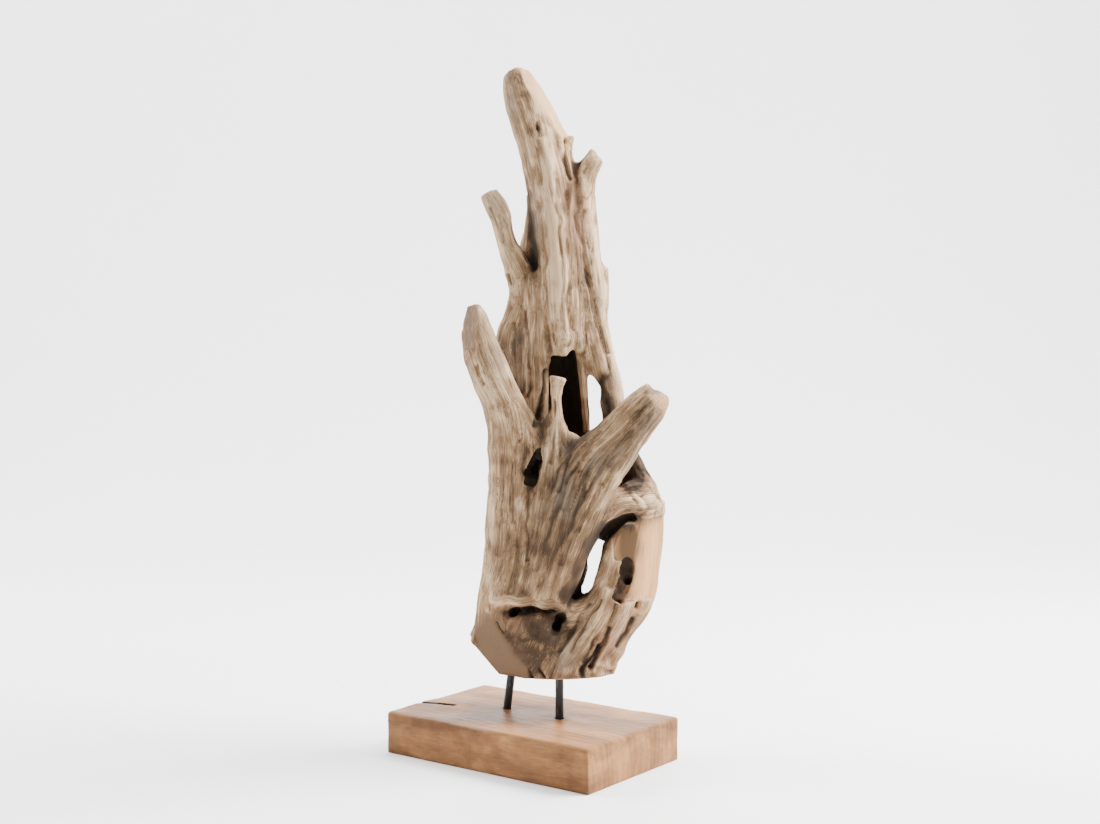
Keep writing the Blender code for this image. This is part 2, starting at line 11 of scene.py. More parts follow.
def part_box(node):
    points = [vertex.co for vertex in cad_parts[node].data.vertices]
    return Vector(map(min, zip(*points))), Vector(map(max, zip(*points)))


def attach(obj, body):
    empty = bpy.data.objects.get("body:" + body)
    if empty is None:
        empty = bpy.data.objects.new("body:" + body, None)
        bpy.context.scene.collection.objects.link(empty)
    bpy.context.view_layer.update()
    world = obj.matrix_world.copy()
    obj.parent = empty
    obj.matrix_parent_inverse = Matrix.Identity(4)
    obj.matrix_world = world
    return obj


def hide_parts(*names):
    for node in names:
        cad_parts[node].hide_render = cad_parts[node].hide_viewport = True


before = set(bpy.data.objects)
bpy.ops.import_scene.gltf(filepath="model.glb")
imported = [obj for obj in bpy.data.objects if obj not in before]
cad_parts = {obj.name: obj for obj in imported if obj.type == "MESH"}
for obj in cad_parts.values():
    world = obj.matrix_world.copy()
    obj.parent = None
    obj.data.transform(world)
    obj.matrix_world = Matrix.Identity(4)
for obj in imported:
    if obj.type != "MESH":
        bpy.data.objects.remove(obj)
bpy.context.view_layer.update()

bl_info = {
    "name": "Teak branch on a plinth",
    "version": (1, 0, 0),
    "blender": (4, 5, 0),
    "location": "3D View > Sidebar > Teak branch",
    "description": "Weathered teak root wood on two steel pins above a sawn teak plinth",
    "category": "Object",
}

MM = 0.001

# The branch is drawn as it is seen from its front, which is turned away from the
# plinth's front by FRONT_TURN. EYE is where it is drawn from, in its own frame.
# DRAWN_AT is the drawing's distance, and EYE_RISE is how far the eye's centre line
# passes above the drawing's zero height.
FRONT_TURN = math.radians(36.9)
EYE = Vector((0.0224, -1.8374, 0.495))
EYE_TILT = math.radians(2.4)
DRAWN_AT = 1.8334
EYE_RISE = 0.3216

# Fixed colours: grey and reddish patches of the weathered wood, and the near-black
# painted shade put into hollows and into the plinth's crack.
GREY_WOOD = (0.26, 0.235, 0.19, 1.0)
RED_WOOD = (0.36, 0.19, 0.105, 1.0)
PAINTED_HOLLOW_SHADE = (0.026, 0.016, 0.009, 1.0)
PAINTED_CRACK_SHADE = (0.03, 0.018, 0.010, 1.0)
RUBBED_STEEL = (0.055, 0.050, 0.047, 1.0)

# The plinth's rings run round a pith that lies this far in front of its middle and
# this high, in metres.
PITH_AWAY = 0.34
PITH_HEIGHT = 0.02

# The holes for the pins are a little wider than the steel.
PIN_HOLE_RADIUS = 0.0053

# How much the grain of the foot leans, in radians.
FOOT_SLANT = -0.42

# The floor sheet is flat as far as FLOOR_RUN behind the object, then curves up with the
# radius FLOOR_BEND. It lies FLOOR_DROP below the plinth's underside.
FLOOR_RUN = 1.6
FLOOR_BEND = 1.6
FLOOR_DROP = 0.0004

# Strands, as points (across, up, back, radius) in millimetres. Across and up are
# read on the drawing and back is the distance behind the middle of the plinth.
TRUNK = {
    "main_ridge": [(-42, 733, -3, 4), (-39, 723, -5, 10), (-35, 709, -8, 14), (-24, 674, -10, 16),
                   (-13, 636, -13, 15), (-2, 588, -17, 14), (5, 546, -21, 14), (10, 504, -24, 14),
                   (13, 456, -25, 14), (14, 412, -25, 10), (12, 399, -26, 4)],
    "spike_left": [(-47, 728, 2, 3), (-46, 717, 2, 7), (-44, 702, 2, 9), (-40, 679, 2, 9),
                   (-32, 652, 1, 10), (-26, 626, 0, 10), (-18, 600, -2, 10), (-10, 570, -5, 10),
                   (-4, 534, -10, 11), (0, 492, -16, 11), (0, 450, -19, 11), (4, 402, -20, 7),
                   (3, 392, -20, 4)],
    "spike_right": [(-33, 730, 4, 3), (-27, 719, 4, 9), (-20, 707, 4, 12), (-2, 672, 4, 13),
                    (14, 624, 0, 12), (25, 552, -7, 12), (37, 474, -11, 11), (50, 406, -9, 11),
                    (65, 355, -3, 9), (78, 307, 2, 7)],
    "spike_back": [(-40, 731, 5, 4), (-37, 714, 9, 11), (-25, 682, 16, 14), (-11, 636, 20, 18),
                   (2, 588, 24, 20), (14, 528, 27, 22), (20, 468, 30, 22), (22, 425, 32, 18)],
    "middle_ridge": [(29, 612, -2, 6), (23, 576, -12, 7), (24, 528, -17, 8), (28, 480, -20, 9),
                     (31, 434, -20, 8), (34, 404, -17, 5), (35, 396, -17, 3)],
    "right_ridge": [(44, 610, 0, 8), (40, 588, -2, 9), (38, 558, -4, 9), (43, 530, -4, 10),
                    (48, 504, -6, 10), (53, 474, -6, 10), (55, 450, -6, 9), (60, 426, -5, 9),
                    (67, 396, -3, 9), (74, 366, -1, 9), (80, 336, 1, 8), (85, 307, 4, 8)],
    "right_wall": [(41, 600, 8, 6), (43, 558, 10, 10), (46, 516, 12, 12), (54, 468, 14, 12),
                   (60, 426, 17, 10), (67, 390, 19, 9), (72, 354, 21, 9), (77, 318, 23, 9),
                   (90, 282, 24, 10), (104, 252, 22, 11), (115, 216, 16, 15), (114, 180, 10, 16),
                   (106, 144, 4, 10)],
    "right_wall_back": [(36, 618, 16, 8), (37, 576, 24, 12), (41, 528, 30, 14), (48, 468, 36, 14),
                        (56, 426, 38, 11), (64, 390, 39, 8), (70, 354, 41, 8), (73, 318, 43, 8),
                        (84, 282, 43, 10), (101, 250, 40, 11), (112, 216, 32, 17),
                        (110, 176, 26, 16), (98, 136, 20, 10)],
    "right_wall_inside": [(69, 360, 8, 5), (72, 336, 10, 5), (73, 304, 12, 6)],
    "left_wall": [(-37, 482, -2, 9), (-35, 462, -4, 11), (-42, 436, -4, 13), (-49, 418, -5, 14),
                  (-52, 394, -8, 15), (-46, 348, -8, 15), (-38, 312, -6, 14), (-34, 276, 0, 14)],
    "left_wall_front": [(-22, 487, -8, 8), (-19, 450, -13, 12), (-23, 402, -14, 12),
                        (-24, 354, -12, 11), (-22, 312, -10, 10), (-18, 282, -8, 8)],
    "window_edge": [(-7, 490, -14, 8), (-10, 444, -18, 9), (-10, 396, -18, 7), (-9, 354, -16, 6),
                    (-8, 312, -14, 6), (-6, 270, -12, 6)],
    "left_core": [(-34, 456, 10, 14), (-38, 396, 12, 18), (-38, 336, 14, 20), (-36, 276, 14, 22)],
    "fork": [(51, 638, -1, 2), (49, 628, -1, 6), (43, 612, -2, 8), (38, 592, -3, 10), (38, 570, -3, 9)],
    "fork_side": [(62, 625, -3, 3), (55, 619, -3, 6), (46, 606, -3, 8), (42, 588, -3, 9)],
    "fork_web": [(32, 611, -3, 5), (34, 600, -5, 9), (35, 582, -6, 10)],
    "shard": [(26, 654, 2, 0.8), (21, 645, 2, 2.5), (16, 633, 1, 6), (13, 615, 0, 9), (17, 590, -2, 9)],
    "shard_edge": [(24, 648, 0, 1), (20, 636, -1, 2.5), (20, 622, -2, 4), (24, 606, -4, 6)],
    "tooth_left": [(6, 410, -24, 5), (8, 396, -26, 3), (9, 390, -27, 1.5)],
    "tooth_middle": [(14, 408, -26, 5), (16, 394, -27, 2.5), (16, 388, -27, 1)],
    "tooth_right": [(24, 416, -22, 5), (22, 402, -24, 3), (21, 395, -25, 1)],
    "tooth_far": [(36, 412, -16, 5), (34, 400, -18, 2.5), (33, 394, -19, 1)],
    "knob": [(66, 496, 2, 3), (65, 485, 4, 4), (62, 468, 4, 6), (59, 450, 4, 7)],
}
THIN_BRANCH = {
    "thin_branch": [(-74, 584, -18, 8.5), (-66, 569, -17, 11), (-59, 551, -16, 10.5),
                    (-53, 528, -13, 11.5), (-46, 511, -9, 13), (-37, 486, -5, 13),
                    (-32, 456, -2, 14)],
    "notch_piece": [(-20, 583, 12, 5), (-18, 558, 14, 7), (-20, 528, 16, 9), (-22, 502, 18, 12),
                    (-17, 468, 22, 16)],
    "notch_wall": [(-13, 581, 6, 6), (-11, 546, 8, 7), (-8, 510, 6, 8), (-6, 474, 4, 10)],
}
LEFT_LIMB = {
    "left_limb": [(-95, 450, -44, 6), (-91, 430, -44, 13), (-84, 404, -45, 17), (-76, 380, -46, 19),
                  (-66, 354, -46, 20), (-56, 332, -44, 20), (-49, 306, -40, 23), (-47, 275, -32, 26),
                  (-47, 228, -24, 25), (-50, 180, -16, 26), (-53, 132, -8, 27), (-58, 84, -2, 29),
                  (-62, 42, 0, 31), (-66, -6, 4, 31)],
    "left_limb_outer": [(-96, 420, -36, 9), (-91, 396, -34, 11), (-82, 362, -32, 12),
                        (-67, 334, -28, 12), (-62, 300, -22, 12), (-61, 264, -14, 12),
                        (-59, 228, -6, 13), (-59, 180, 4, 15), (-62, 132, 12, 16),
                        (-68, 84, 18, 18), (-74, 44, 22, 19), (-76, -4, 24, 18)],
    "left_limb_inner": [(-87, 446, -48, 3), (-83, 422, -50, 8), (-74, 402, -50, 9),
                        (-65, 378, -50, 10), (-55, 353, -50, 11), (-44, 330, -47, 12),
                        (-34, 310, -42, 12), (-24, 288, -36, 10), (-17, 264, -34, 7)],
    "left_limb_lip": [(-28, 312, -40, 6), (-19, 298, -40, 5), (-13, 282, -38, 4),
                      (-8, 264, -34, 4), (-10, 247, -30, 4)],
}
CENTRE = {
    "stump": [(10, 363, -44, 9.5), (8, 353, -44, 7), (7, 340, -44, 6), (8, 322, -44, 7.5),
              (7, 298, -43, 10), (4, 264, -40, 13), (-1, 228, -36, 15), (-8, 186, -32, 16),
              (-14, 144, -30, 16)],
    "stump_side": [(19, 293, -38, 6), (26, 281, -36, 10), (29, 257, -36, 14), (22, 221, -34, 16),
                   (12, 180, -34, 18), (2, 138, -34, 18)],
    "flake": [(-4, 313, -38, 2), (-6, 290, -38, 5), (-4, 269, -38, 6), (-6, 242, -36, 9),
              (-14, 210, -32, 12), (-20, 168, -30, 13)],
    "fan_left": [(-40, 190, -20, 12), (-46, 144, -24, 18), (-54, 114, -24, 16), (-60, 94, -26, 12)],
    "fan_middle": [(-17, 236, -26, 8), (-20, 204, -30, 13), (-24, 174, -27, 14), (-31, 132, -27, 16),
                   (-40, 99, -30, 13)],
    "fan_right": [(4, 222, -34, 8), (0, 192, -38, 14), (-8, 150, -34, 17), (-17, 114, -34, 15),
                  (-22, 94, -36, 9)],
    "lip": [(-74, 97, -20, 3), (-62, 95, -35, 3.5), (-50, 98, -40, 3), (-36, 95, -44, 3.5),
            (-20, 97, -46, 3), (-6, 93, -47, 4), (8, 93, -46, 3), (17, 88, -43, 4)],
}
RIGHT_LIMB = {
    "right_limb_upper": [(124, 347, -76, 9), (109, 334, -74, 13), (92, 316, -69, 16),
                         (72, 295, -63, 18), (52, 277, -58, 18), (36, 256, -53, 18),
                         (22, 222, -48, 19), (10, 180, -42, 20), (-1, 138, -38, 20),
                         (-12, 100, -32, 18)],
    "right_limb_lower": [(138, 340, -74, 9), (121, 319, -70, 14), (101, 295, -65, 16),
                         (82, 270, -60, 19), (66, 246, -56, 20), (50, 212, -52, 18),
                         (36, 180, -48, 17), (24, 149, -45, 16), (14, 120, -42, 15),
                         (6, 98, -36, 12)],
    "right_limb_back": [(127, 341, -60, 9), (110, 322, -54, 13), (91, 301, -46, 17),
                        (72, 277, -38, 19), (55, 252, -30, 22), (38, 216, -22, 26),
                        (17, 162, -14, 28), (-2, 108, -6, 28)],
    "shelf": [(120, 216, -14, 12), (106, 214, -24, 13), (86, 212, -33, 13), (66, 197, -38, 12),
              (48, 181, -38, 11), (35, 160, -37, 11), (26, 135, -36, 10), (18, 112, -33, 9),
              (10, 95, -30, 8)],
    "shelf_back": [(120, 218, 8, 16), (96, 216, 0, 18), (70, 206, -6, 17), (48, 186, -8, 14),
                   (34, 162, -8, 14), (28, 132, -8, 14), (20, 106, -8, 12)],
    "shelf_root": [(103, 202, 14, 14), (86, 192, 10, 14), (72, 180, 6, 10)],
}
LOOP = {
    "loop_outer": [(114, 216, 2, 18), (112, 180, 2, 23), (108, 144, 2, 24), (102, 103, 0, 24),
                   (82, 70, -4, 24), (60, 43, -10, 24), (30, 34, -18, 22)],
    "loop_front": [(101, 190, -18, 14), (95, 162, -22, 16), (89, 130, -26, 17), (78, 95, -28, 18),
                   (59, 62, -30, 18), (30, 41, -30, 16)],
    "loop_inner": [(84, 175, -22, 13), (76, 149, -26, 12), (70, 125, -28, 12), (58, 100, -30, 12),
                   (40, 83, -32, 13), (19, 77, -32, 12)],
    "loop_back": [(106, 216, 28, 18), (96, 180, 30, 20), (89, 144, 30, 21), (79, 108, 28, 23),
                  (60, 77, 24, 26), (36, 60, 20, 26)],
    # The thin branch's knuckle. Its place in this list fixes how the grain falls.
    "thin_knuckle": [(-69, 583, -22, 4), (-61, 571, -24, 6), (-54, 556, -21, 5)],
    "loop_filling": [(96, 184, 14, 10), (78, 176, 8, 9), (62, 180, 2, 8)],
    "loop_rib_low": [(36, 14, -38, 6), (50, 30, -38, 8), (67, 53, -38, 8), (84, 82, -38, 8),
                     (96, 108, -34, 7)],
    "loop_rib_high": [(12, 14, -44, 6), (26, 34, -46, 8), (43, 55, -46, 9), (60, 82, -44, 8),
                      (71, 108, -40, 7)],
}
BASE = {
    "foot_middle": [(-84, 30, 24, 24), (-62, 24, 26, 30), (-30, 24, 12, 34), (6, 24, 0, 34),
                    (46, 30, -4, 28), (62, 34, -6, 22)],
    "foot_front": [(-80, 24, 0, 22), (-58, 20, -10, 26), (-24, 16, -22, 26), (8, 14, -27, 26),
                   (48, 20, -22, 22), (62, 26, -16, 16)],
    "foot_right": [(30, 18, -18, 20), (54, 20, -14, 17), (75, 16, -8, 12)],
    "foot_back": [(-70, 24, 40, 24), (-48, 20, 38, 30), (-6, 20, 30, 34), (42, 28, 16, 28)],
    "knot_bed": [(-54, 70, -10, 20), (-30, 66, -16, 22), (0, 70, -18, 22), (26, 74, -16, 18)],
    "knot_bed_low": [(-50, 46, -12, 20), (-24, 44, -20, 20), (6, 44, -22, 20), (34, 50, -20, 18)],
    "knot": [(-28, 48, -35, 4), (-28, 62, -36, 6), (-18, 74, -38, 4.5), (-5, 66, -38, 6),
             (-9, 52, -38, 3)],
    "knot_back": [(-46, 70, 42, 32), (-6, 67, 38, 34), (36, 72, 28, 28)],
}
BACK = {
    "back_left": [(-50, -20, 42, 26), (-48, 40, 42, 28), (-47, 132, 42, 28), (-47, 216, 40, 26),
                  (-43, 300, 38, 24), (-40, 372, 34, 21), (-32, 444, 30, 18), (-23, 504, 24, 14),
                  (-14, 558, 18, 9), (-12, 600, 12, 6)],
    "back_middle": [(-8, -20, 42, 30), (-8, 40, 44, 31), (-6, 144, 46, 29), (-5, 228, 50, 22),
                    (-6, 312, 56, 15), (-1, 396, 54, 17), (6, 468, 46, 20), (7, 540, 36, 16),
                    (-2, 612, 26, 12), (-17, 666, 18, 8), (-28, 696, 12, 5)],
    "back_right": [(40, -8, 24, 24), (36, 42, 32, 26), (22, 132, 34, 24), (19, 216, 48, 18),
                   (13, 288, 57, 15), (14, 360, 57, 14), (24, 432, 52, 17), (28, 504, 44, 20),
                   (22, 576, 34, 18), (10, 624, 24, 12), (-5, 662, 14, 7)],
    "back_slope": [(108, 180, 32, 18), (84, 228, 44, 17), (57, 264, 50, 15), (37, 306, 54, 14),
                   (31, 372, 54, 11), (37, 432, 50, 13), (41, 492, 42, 13), (40, 552, 30, 10),
                   (41, 588, 18, 7)],
    "core": [(7, 72, 16, 26), (14, 144, 16, 24), (24, 198, 20, 22), (34, 242, 32, 18),
             (29, 282, 46, 14)],
    "back_shoulder": [(49, 297, 50, 6), (56, 286, 48, 12), (67, 264, 46, 16), (79, 234, 42, 18),
                      (94, 210, 36, 18)],
    "back_shoulder_right": [(80, 300, 45, 7), (90, 264, 46, 13), (99, 228, 42, 17)],
    "rib_left": [(-30, -20, 64, 9), (-28, 40, 68, 9), (-26, 140, 68, 10), (-28, 240, 60, 8),
                 (-24, 330, 56, 7), (-18, 420, 50, 7), (-8, 500, 44, 6)],
    "rib_middle": [(16, -20, 56, 9), (12, 60, 62, 9), (6, 160, 64, 9), (2, 250, 64, 7), (6, 340, 66, 7),
                   (14, 420, 62, 7), (20, 500, 56, 7), (16, 560, 46, 6), (4, 620, 32, 5)],
    "rib_right": [(84, 100, 36, 5), (96, 140, 44, 8), (102, 176, 46, 8), (96, 220, 54, 8),
                  (66, 266, 58, 7), (38, 300, 60, 5), (34, 380, 60, 6), (44, 440, 54, 6)],
}

# The thin wall that stands in the window is a stack of strands from front to back.
# Each layer is how far back it is, its radius, and how far it is moved across.
FIN_PATH = [(37, 402), (40, 371), (43, 336), (46, 298)]
FIN_LAYERS = ((-4, 5, 0), (11, 5, -1), (26, 6, -4), (40, 8, -8))

# Passages, cut along the line of sight: each one's outline, as points (across, up, radius),
# and how far back each of its hollow strands lies.
PASSAGES = {
    "under_shelf": ([(106, 198, 2), (97, 197, 4.5), (84, 191, 6.5), (73, 182, 8.5), (62, 169, 8)],
                    range(-66, -10, 8)),
    "window_slit": ([(46, 368, 2), (49, 361, 5.5), (52.5, 349, 8.6), (53, 330, 8.6), (54, 302, 7.6),
                     (55, 288, 7)], range(-8, 78, 8)),
    "loop_hole": ([(63, 167, 2.5), (60, 161, 6), (54.5, 149, 8.7), (50.5, 128.5, 8.3),
                   (43, 110.5, 6), (39, 103, 2.5)], range(-60, 70, 8)),
}

# Hollows, cut out as strands are added.
HOLLOWS = {
    "pocket": [(-9, 290, -38, 3), (-12, 274, -42, 6), (-17, 259, -48, 9), (-21, 248, -52, 9)],
    "pocket_left": [(-17, 276, -38, 4), (-25, 259, -37, 7), (-29, 245, -40, 8)],
    "pocket_foot": [(-29, 242, -45, 6), (-21, 240, -42, 8), (-12, 246, -42, 6)],
    "pocket_back": [(-16, 266, -32, 9), (-19, 253, -32, 12), (-21, 244, -30, 10)],
    "pocket_deep": [(-16, 266, -8, 9), (-20, 250, -8, 12), (-24, 238, -8, 8)],
    "left_cavity": [(-60, 83, -50, 2), (-50, 80, -40, 5), (-43, 82, -30, 7), (-36, 84, -18, 7)],
    "middle_cavity": [(17, 80, -58, 3), (14, 76, -46, 6.5), (10, 72, -30, 8), (4, 70, -18, 10)],
    "middle_cavity_low": [(3, 57, -60, 2), (7, 62, -46, 5.5), (8, 68, -30, 7)],
    "under_lip": [(-72, 84, -38, 4), (-58, 83, -50, 5), (-36, 83, -56, 5), (-16, 83, -58, 4),
                  (2, 80, -58, 5), (18, 77, -56, 4)],
    "above_shelf": [(100, 254, -30, 6), (104, 244, -20, 10), (100, 238, -8, 9)],
    "dish": [(93, 150, -33, 6), (93, 134, -32, 12), (88, 113, -37, 13), (78, 94, -43, 10)],
    "worm_hole": [(93, 126, -30, 3), (94, 120, -21, 5), (95, 112, -10, 4)],
}

# Sawn and sanded faces: a point on the face, the way it faces, and its reach.
FLATS = {
    "left_limb_saw": ((-97, 427, -47), (-0.81, -0.57, 0.08), 60),
    "right_limb_saw": ((130, 329, -84), (0.66, -0.66, 0.36), 60),
    "spike_facet": ((-2, 691, 4), (0.76, -0.46, 0.45), 90),
    "loop_facet": ((120, 147, -11), (0.60, -0.80, 0.02), 98),
    "loop_facet_front": ((95, 165, -24), (0.12, -0.985, 0.10), 42),
    "foot_facet": ((-50, 30, -36), (-0.60, -0.78, -0.15), 100),
    "foot_chamfer": ((-74, 25, 0), (-0.72, 0.0, -0.69), 120),
}

# Grooves and ridges of the front, drawn as lines (across, up) in millimetres, each
# with its width and how far it goes in. A ridge goes in by less than nothing.
GROOVES = {
    "trunk_long": ([(30, 636), (31, 600), (32, 558), (40, 528), (46, 480), (56, 456), (64, 420),
                    (70, 394)], 4.2, 4.2),
    "trunk_middle": ([(19, 582), (22, 540), (25, 502), (22, 456), (25, 420)], 3.8, 2.6),
    "trunk_left": ([(-14, 636), (-12, 576), (-6, 516), (-4, 456), (-2, 396)], 3.0, 1.6),
    "trunk_fine": ([(8, 600), (12, 540), (15, 480), (14, 430)], 2.6, 1.4),
    "trunk_right_fine": ([(40, 560), (46, 520), (50, 470), (58, 430), (66, 390), (74, 350)], 3.2, 2.2),
    "facet_edge": ([(-24, 720), (-2, 696), (0, 660), (2, 614)], 3.5, -1.4),
    "spike_rot": ([(-31, 702), (-23, 684), (-16, 667), (-11, 656)], 4.5, 2.0),
    "spike_rot_side": ([(-36, 690), (-30, 668), (-22, 648), (-18, 630)], 3.6, 1.6),
    "spike_hole": ([(-14.5, 668), (-13.5, 664)], 3.0, 4.0),
    "shard_crack": ([(17, 648), (18, 620), (22, 600)], 2.6, 3.2),
    "thin_crack": ([(-50, 485), (-47, 474)], 1.6, 3.0),
    "thin_grain": ([(-70, 566), (-60, 540), (-52, 514), (-44, 494)], 1.8, 1.6),
    "wall_crack": ([(-5, 371), (-8, 348), (-12, 330), (-18, 306)], 2.4, 4.2),
    "wall_fine": ([(-30, 440), (-26, 400), (-24, 366), (-26, 340)], 2.0, 2.2),
    "wall_outer": ([(-42, 430), (-44, 400), (-40, 370)], 2.0, 1.8),
    "limb_knot": ([(-88, 374), (-84, 366), (-78, 356)], 2.6, 3.2),
    "limb_line": ([(-84, 400), (-74, 372), (-62, 348), (-50, 320), (-40, 296)], 2.6, 1.4),
    "limb_low": ([(-60, 290), (-58, 240), (-58, 200), (-62, 150)], 2.8, 1.0),
    "limb_low_inner": ([(-46, 270), (-44, 230), (-46, 190)], 2.6, 0.8),
    "seam": ([(-27, 230), (-28, 206), (-27, 180), (-27, 144)], 2.2, 1.6),
    "stump_line": ([(6, 336), (7, 310), (4, 286), (0, 262)], 1.6, 1.8),
    "stump_root": ([(24, 268), (18, 250), (10, 226)], 2.0, 2.8),
    "stump_root_side": ([(34, 262), (27, 248), (20, 236)], 2.0, 2.6),
    "fan_line": ([(96, 300), (74, 268), (52, 240), (34, 210), (18, 174), (2, 140), (-12, 112)], 3.2, 1.3),
    "fan_line_low": ([(88, 268), (64, 238), (46, 204), (30, 172), (14, 140)], 3.2, 1.3),
    "fan_line_high": ([(60, 296), (40, 268), (22, 236), (8, 200), (-6, 164), (-18, 132)], 3.0, 1.2),
    "shelf_rim": ([(84, 238), (96, 232), (103, 222)], 2.6, -1.6),
    "shelf_pit": ([(112, 222), (118, 208), (112, 198)], 3.0, 2.8),
    "shelf_pit_side": ([(100, 216), (108, 206)], 2.6, 2.4),
    "loop_notch": ([(107, 95), (103, 86)], 2.4, 5.0),
    "loop_black_crack": ([(69, 63), (60, 40), (50, 13)], 2.6, 7.0),
    "loop_black_crack_high": ([(98, 73), (90, 56), (82, 41)], 2.6, 6.0),
    "loop_crack_low": ([(57, 41), (48, 24), (39, 8)], 2.4, 6.0),
    "loop_crack_side": ([(84, 96), (70, 72), (52, 44), (42, 22)], 2.4, 3.4),
    "loop_crack_inner": ([(60, 96), (42, 66), (26, 36)], 2.4, 2.2),
    "loop_crack_far": ([(46, 92), (28, 62), (14, 36)], 2.4, 2.0),
    "foot_crack_left": ([(-26, 13), (-20, 4)], 1.6, 3.6),
    "foot_crack_right": ([(-14, 14), (-7, 3)], 1.6, 3.6),
    "foot_split": ([(48, 14), (62, 12), (75, 11)], 2.0, 2.6),
    "lip_edge": ([(-70, 94), (-40, 93), (-10, 92), (14, 90)], 1.8, -0.8),
    "left_crack": ([(-65, 67), (-62, 62), (-56, 58)], 1.8, 3.4),
}

# Fibres along the grain: width and length in millimetres, height and seed.
FIBRES = ((11, 150, 1.0, 1), (5.5, 110, 0.65, 2), (3.2, 75, 0.60, 3))

# Creases along the grain: width, length, share of the width, depth and seed.
CREASES = ((8, 120, 0.07, 1.3, 4), (4, 80, 0.10, 0.9, 6))

# The plinth's drying crack in plan, in millimetres, and the slot that opens its inner
# end: its middle and size in metres, and its turn in radians.
CRACK = [(-151, -34), (-132, -28), (-105, -20.5)]
SLOT_MIDDLE = (-0.1165, -0.0238, 0.045)
SLOT_SIZE = (0.025, 0.0075, 0.03)
SLOT_TURN = 0.27

# The knot at the foot: its middle on the drawing, its reach and the depth of its rings.
KNOT = ((-17, 58), 20, 0.30)

# Where the wood is painted darker or paler, drawn in the same way, each with its
# width, its strength and how far back it starts. A start of -99 takes in the whole depth.
# The darker marks are mostly painted shade in hollows, cracks and passages, under ledges
# and on faces turned from the light, and partly darker stained or rotten wood. The paler
# marks are partly bleached wood and partly painted highlight on rims and on faces turned
# to the light.
STAINS_AND_SHADE = {
    "window": ([(14, 388), (22, 350), (28, 300)], 24, 2.6, 4),
    "window_left": ([(4, 380), (8, 330)], 8, 2.0, -6),
    "slot_side": ([(64, 364), (67, 336), (70, 304)], 6, 1.9, -30),
    "pocket": ([(-13, 272), (-21, 250), (-24, 242)], 12, 2.4, -45),
    "pocket_side": ([(-30, 280), (-34, 262), (-33, 248)], 10, 0.9, -99),
    "triangle": ([(104, 268), (105, 250), (98, 238)], 15, 2.8, -36),
    "behind_notch": ([(-20, 592), (-21, 560), (-21, 530), (-16, 506)], 8, 1.15, -8),
    "under_shelf": ([(100, 193), (78, 184), (58, 168)], 11, 1.5, -50),
    "under_shelf_wide": ([(96, 196), (60, 182), (44, 150)], 16, 0.6, -70),
    "loop_hollow_wall": ([(48, 152), (38, 112)], 12, 1.8, -34),
    "cavities": ([(-52, 82), (-40, 80)], 7, 2.0, -46),
    "cavity_right": ([(14, 76), (5, 61)], 7, 2.2, -46),
    "loop_dish": ([(91, 138), (88, 118), (76, 94)], 12, 1.0, -60),
    "worm_hole": ([(93, 129), (92, 119)], 6, 2.2, -44),
    "knot": ([(-28, 84), (-21, 64), (-8, 54), (2, 84)], 19, 1.15, -99),
    "fan": ([(40, 276), (16, 210), (-4, 150)], 38, 0.75, -99),
    "fan_low": ([(40, 190), (20, 120), (0, 108)], 22, 0.60, -99),
    "foot": ([(-62, 42), (-34, 18)], 40, 1.1, -99),
    "foot_right": ([(0, 40), (60, 40)], 26, 0.45, -99),
    "wall": ([(-36, 350), (-22, 326), (-12, 300)], 16, 0.60, -99),
    "wall_high": ([(-44, 400), (-20, 380)], 20, 0.35, -99),
    "limb_inner": ([(-52, 330), (-34, 290), (-30, 262)], 12, 0.45, -99),
    "limb_right": ([(116, 316), (84, 284), (60, 244)], 26, 0.66, -99),
    "limb_knot": ([(116, 347), (130, 352)], 6, 1.1, -99),
    "left_limb": ([(-56, 300), (-52, 220), (-52, 140)], 18, 0.50, -99),
    "spike_rot": ([(-26, 700), (-14, 664)], 9, 0.50, -99),
    "spike_tip": ([(-46, 728), (-34, 716)], 12, 0.35, -99),
    "trunk_side": ([(27, 606), (34, 530), (46, 460), (60, 400)], 9, 0.66, -99),
    # Painted shade on the loop's front facet, which is turned from the key light.
    "facet_front": ([(94, 184), (94, 148)], 12, 1.05, -99),
    "facet_limb": ([(-98, 452), (-95, 400)], 16, 0.62, -99),
    "hole_edge": ([(62, 182), (48, 162), (37, 138), (30, 113), (20, 100)], 10, 1.5, -99),
    "loop_low": ([(90, 80), (60, 40)], 14, 0.35, -99),
    "crack": ([(69, 63), (60, 40), (50, 13)], 3, 1.7, -99),
    "crack_high": ([(98, 73), (90, 56), (82, 41)], 3, 1.6, -99),
    "crack_low": ([(57, 41), (48, 24), (39, 8)], 3, 1.6, -99),
}
# Paler marks: bleached wood, and painted highlight on rims, on the lip and on faces turned to the light.
BLEACH_AND_HIGHLIGHT = {
    "trunk_ridge": ([(-6, 618), (0, 564), (6, 516), (10, 462)], 13, 0.95, -99),
    "trunk_low": ([(10, 470), (20, 420)], 12, 0.45, -99),
    "trunk_edge": ([(48, 570), (56, 470), (84, 340)], 9, 0.75, -99),
    "limb_front": ([(-84, 396), (-60, 342), (-36, 288)], 12, 0.35, -99),
    "limb_edge": ([(-74, 250), (-76, 120)], 9, 0.50, -99),
    "right_limb": ([(108, 336), (70, 300), (40, 268)], 9, 0.45, -99),
    "lip": ([(-66, 96), (10, 94)], 6, 0.75, -99),
    "shelf_rim": ([(82, 240), (98, 230), (110, 216)], 9, 0.75, -99),
    "stump": ([(8, 356), (8, 300), (2, 262)], 9, 0.45, -99),
    "spike_facet": ([(-20, 716), (6, 664), (10, 630)], 12, 0.35, -99),
    # Painted highlight on the loop's right facet, which faces the key light.
    "loop_facet": ([(121, 186), (121, 150), (116, 104)], 13, 1.0, -99),
}


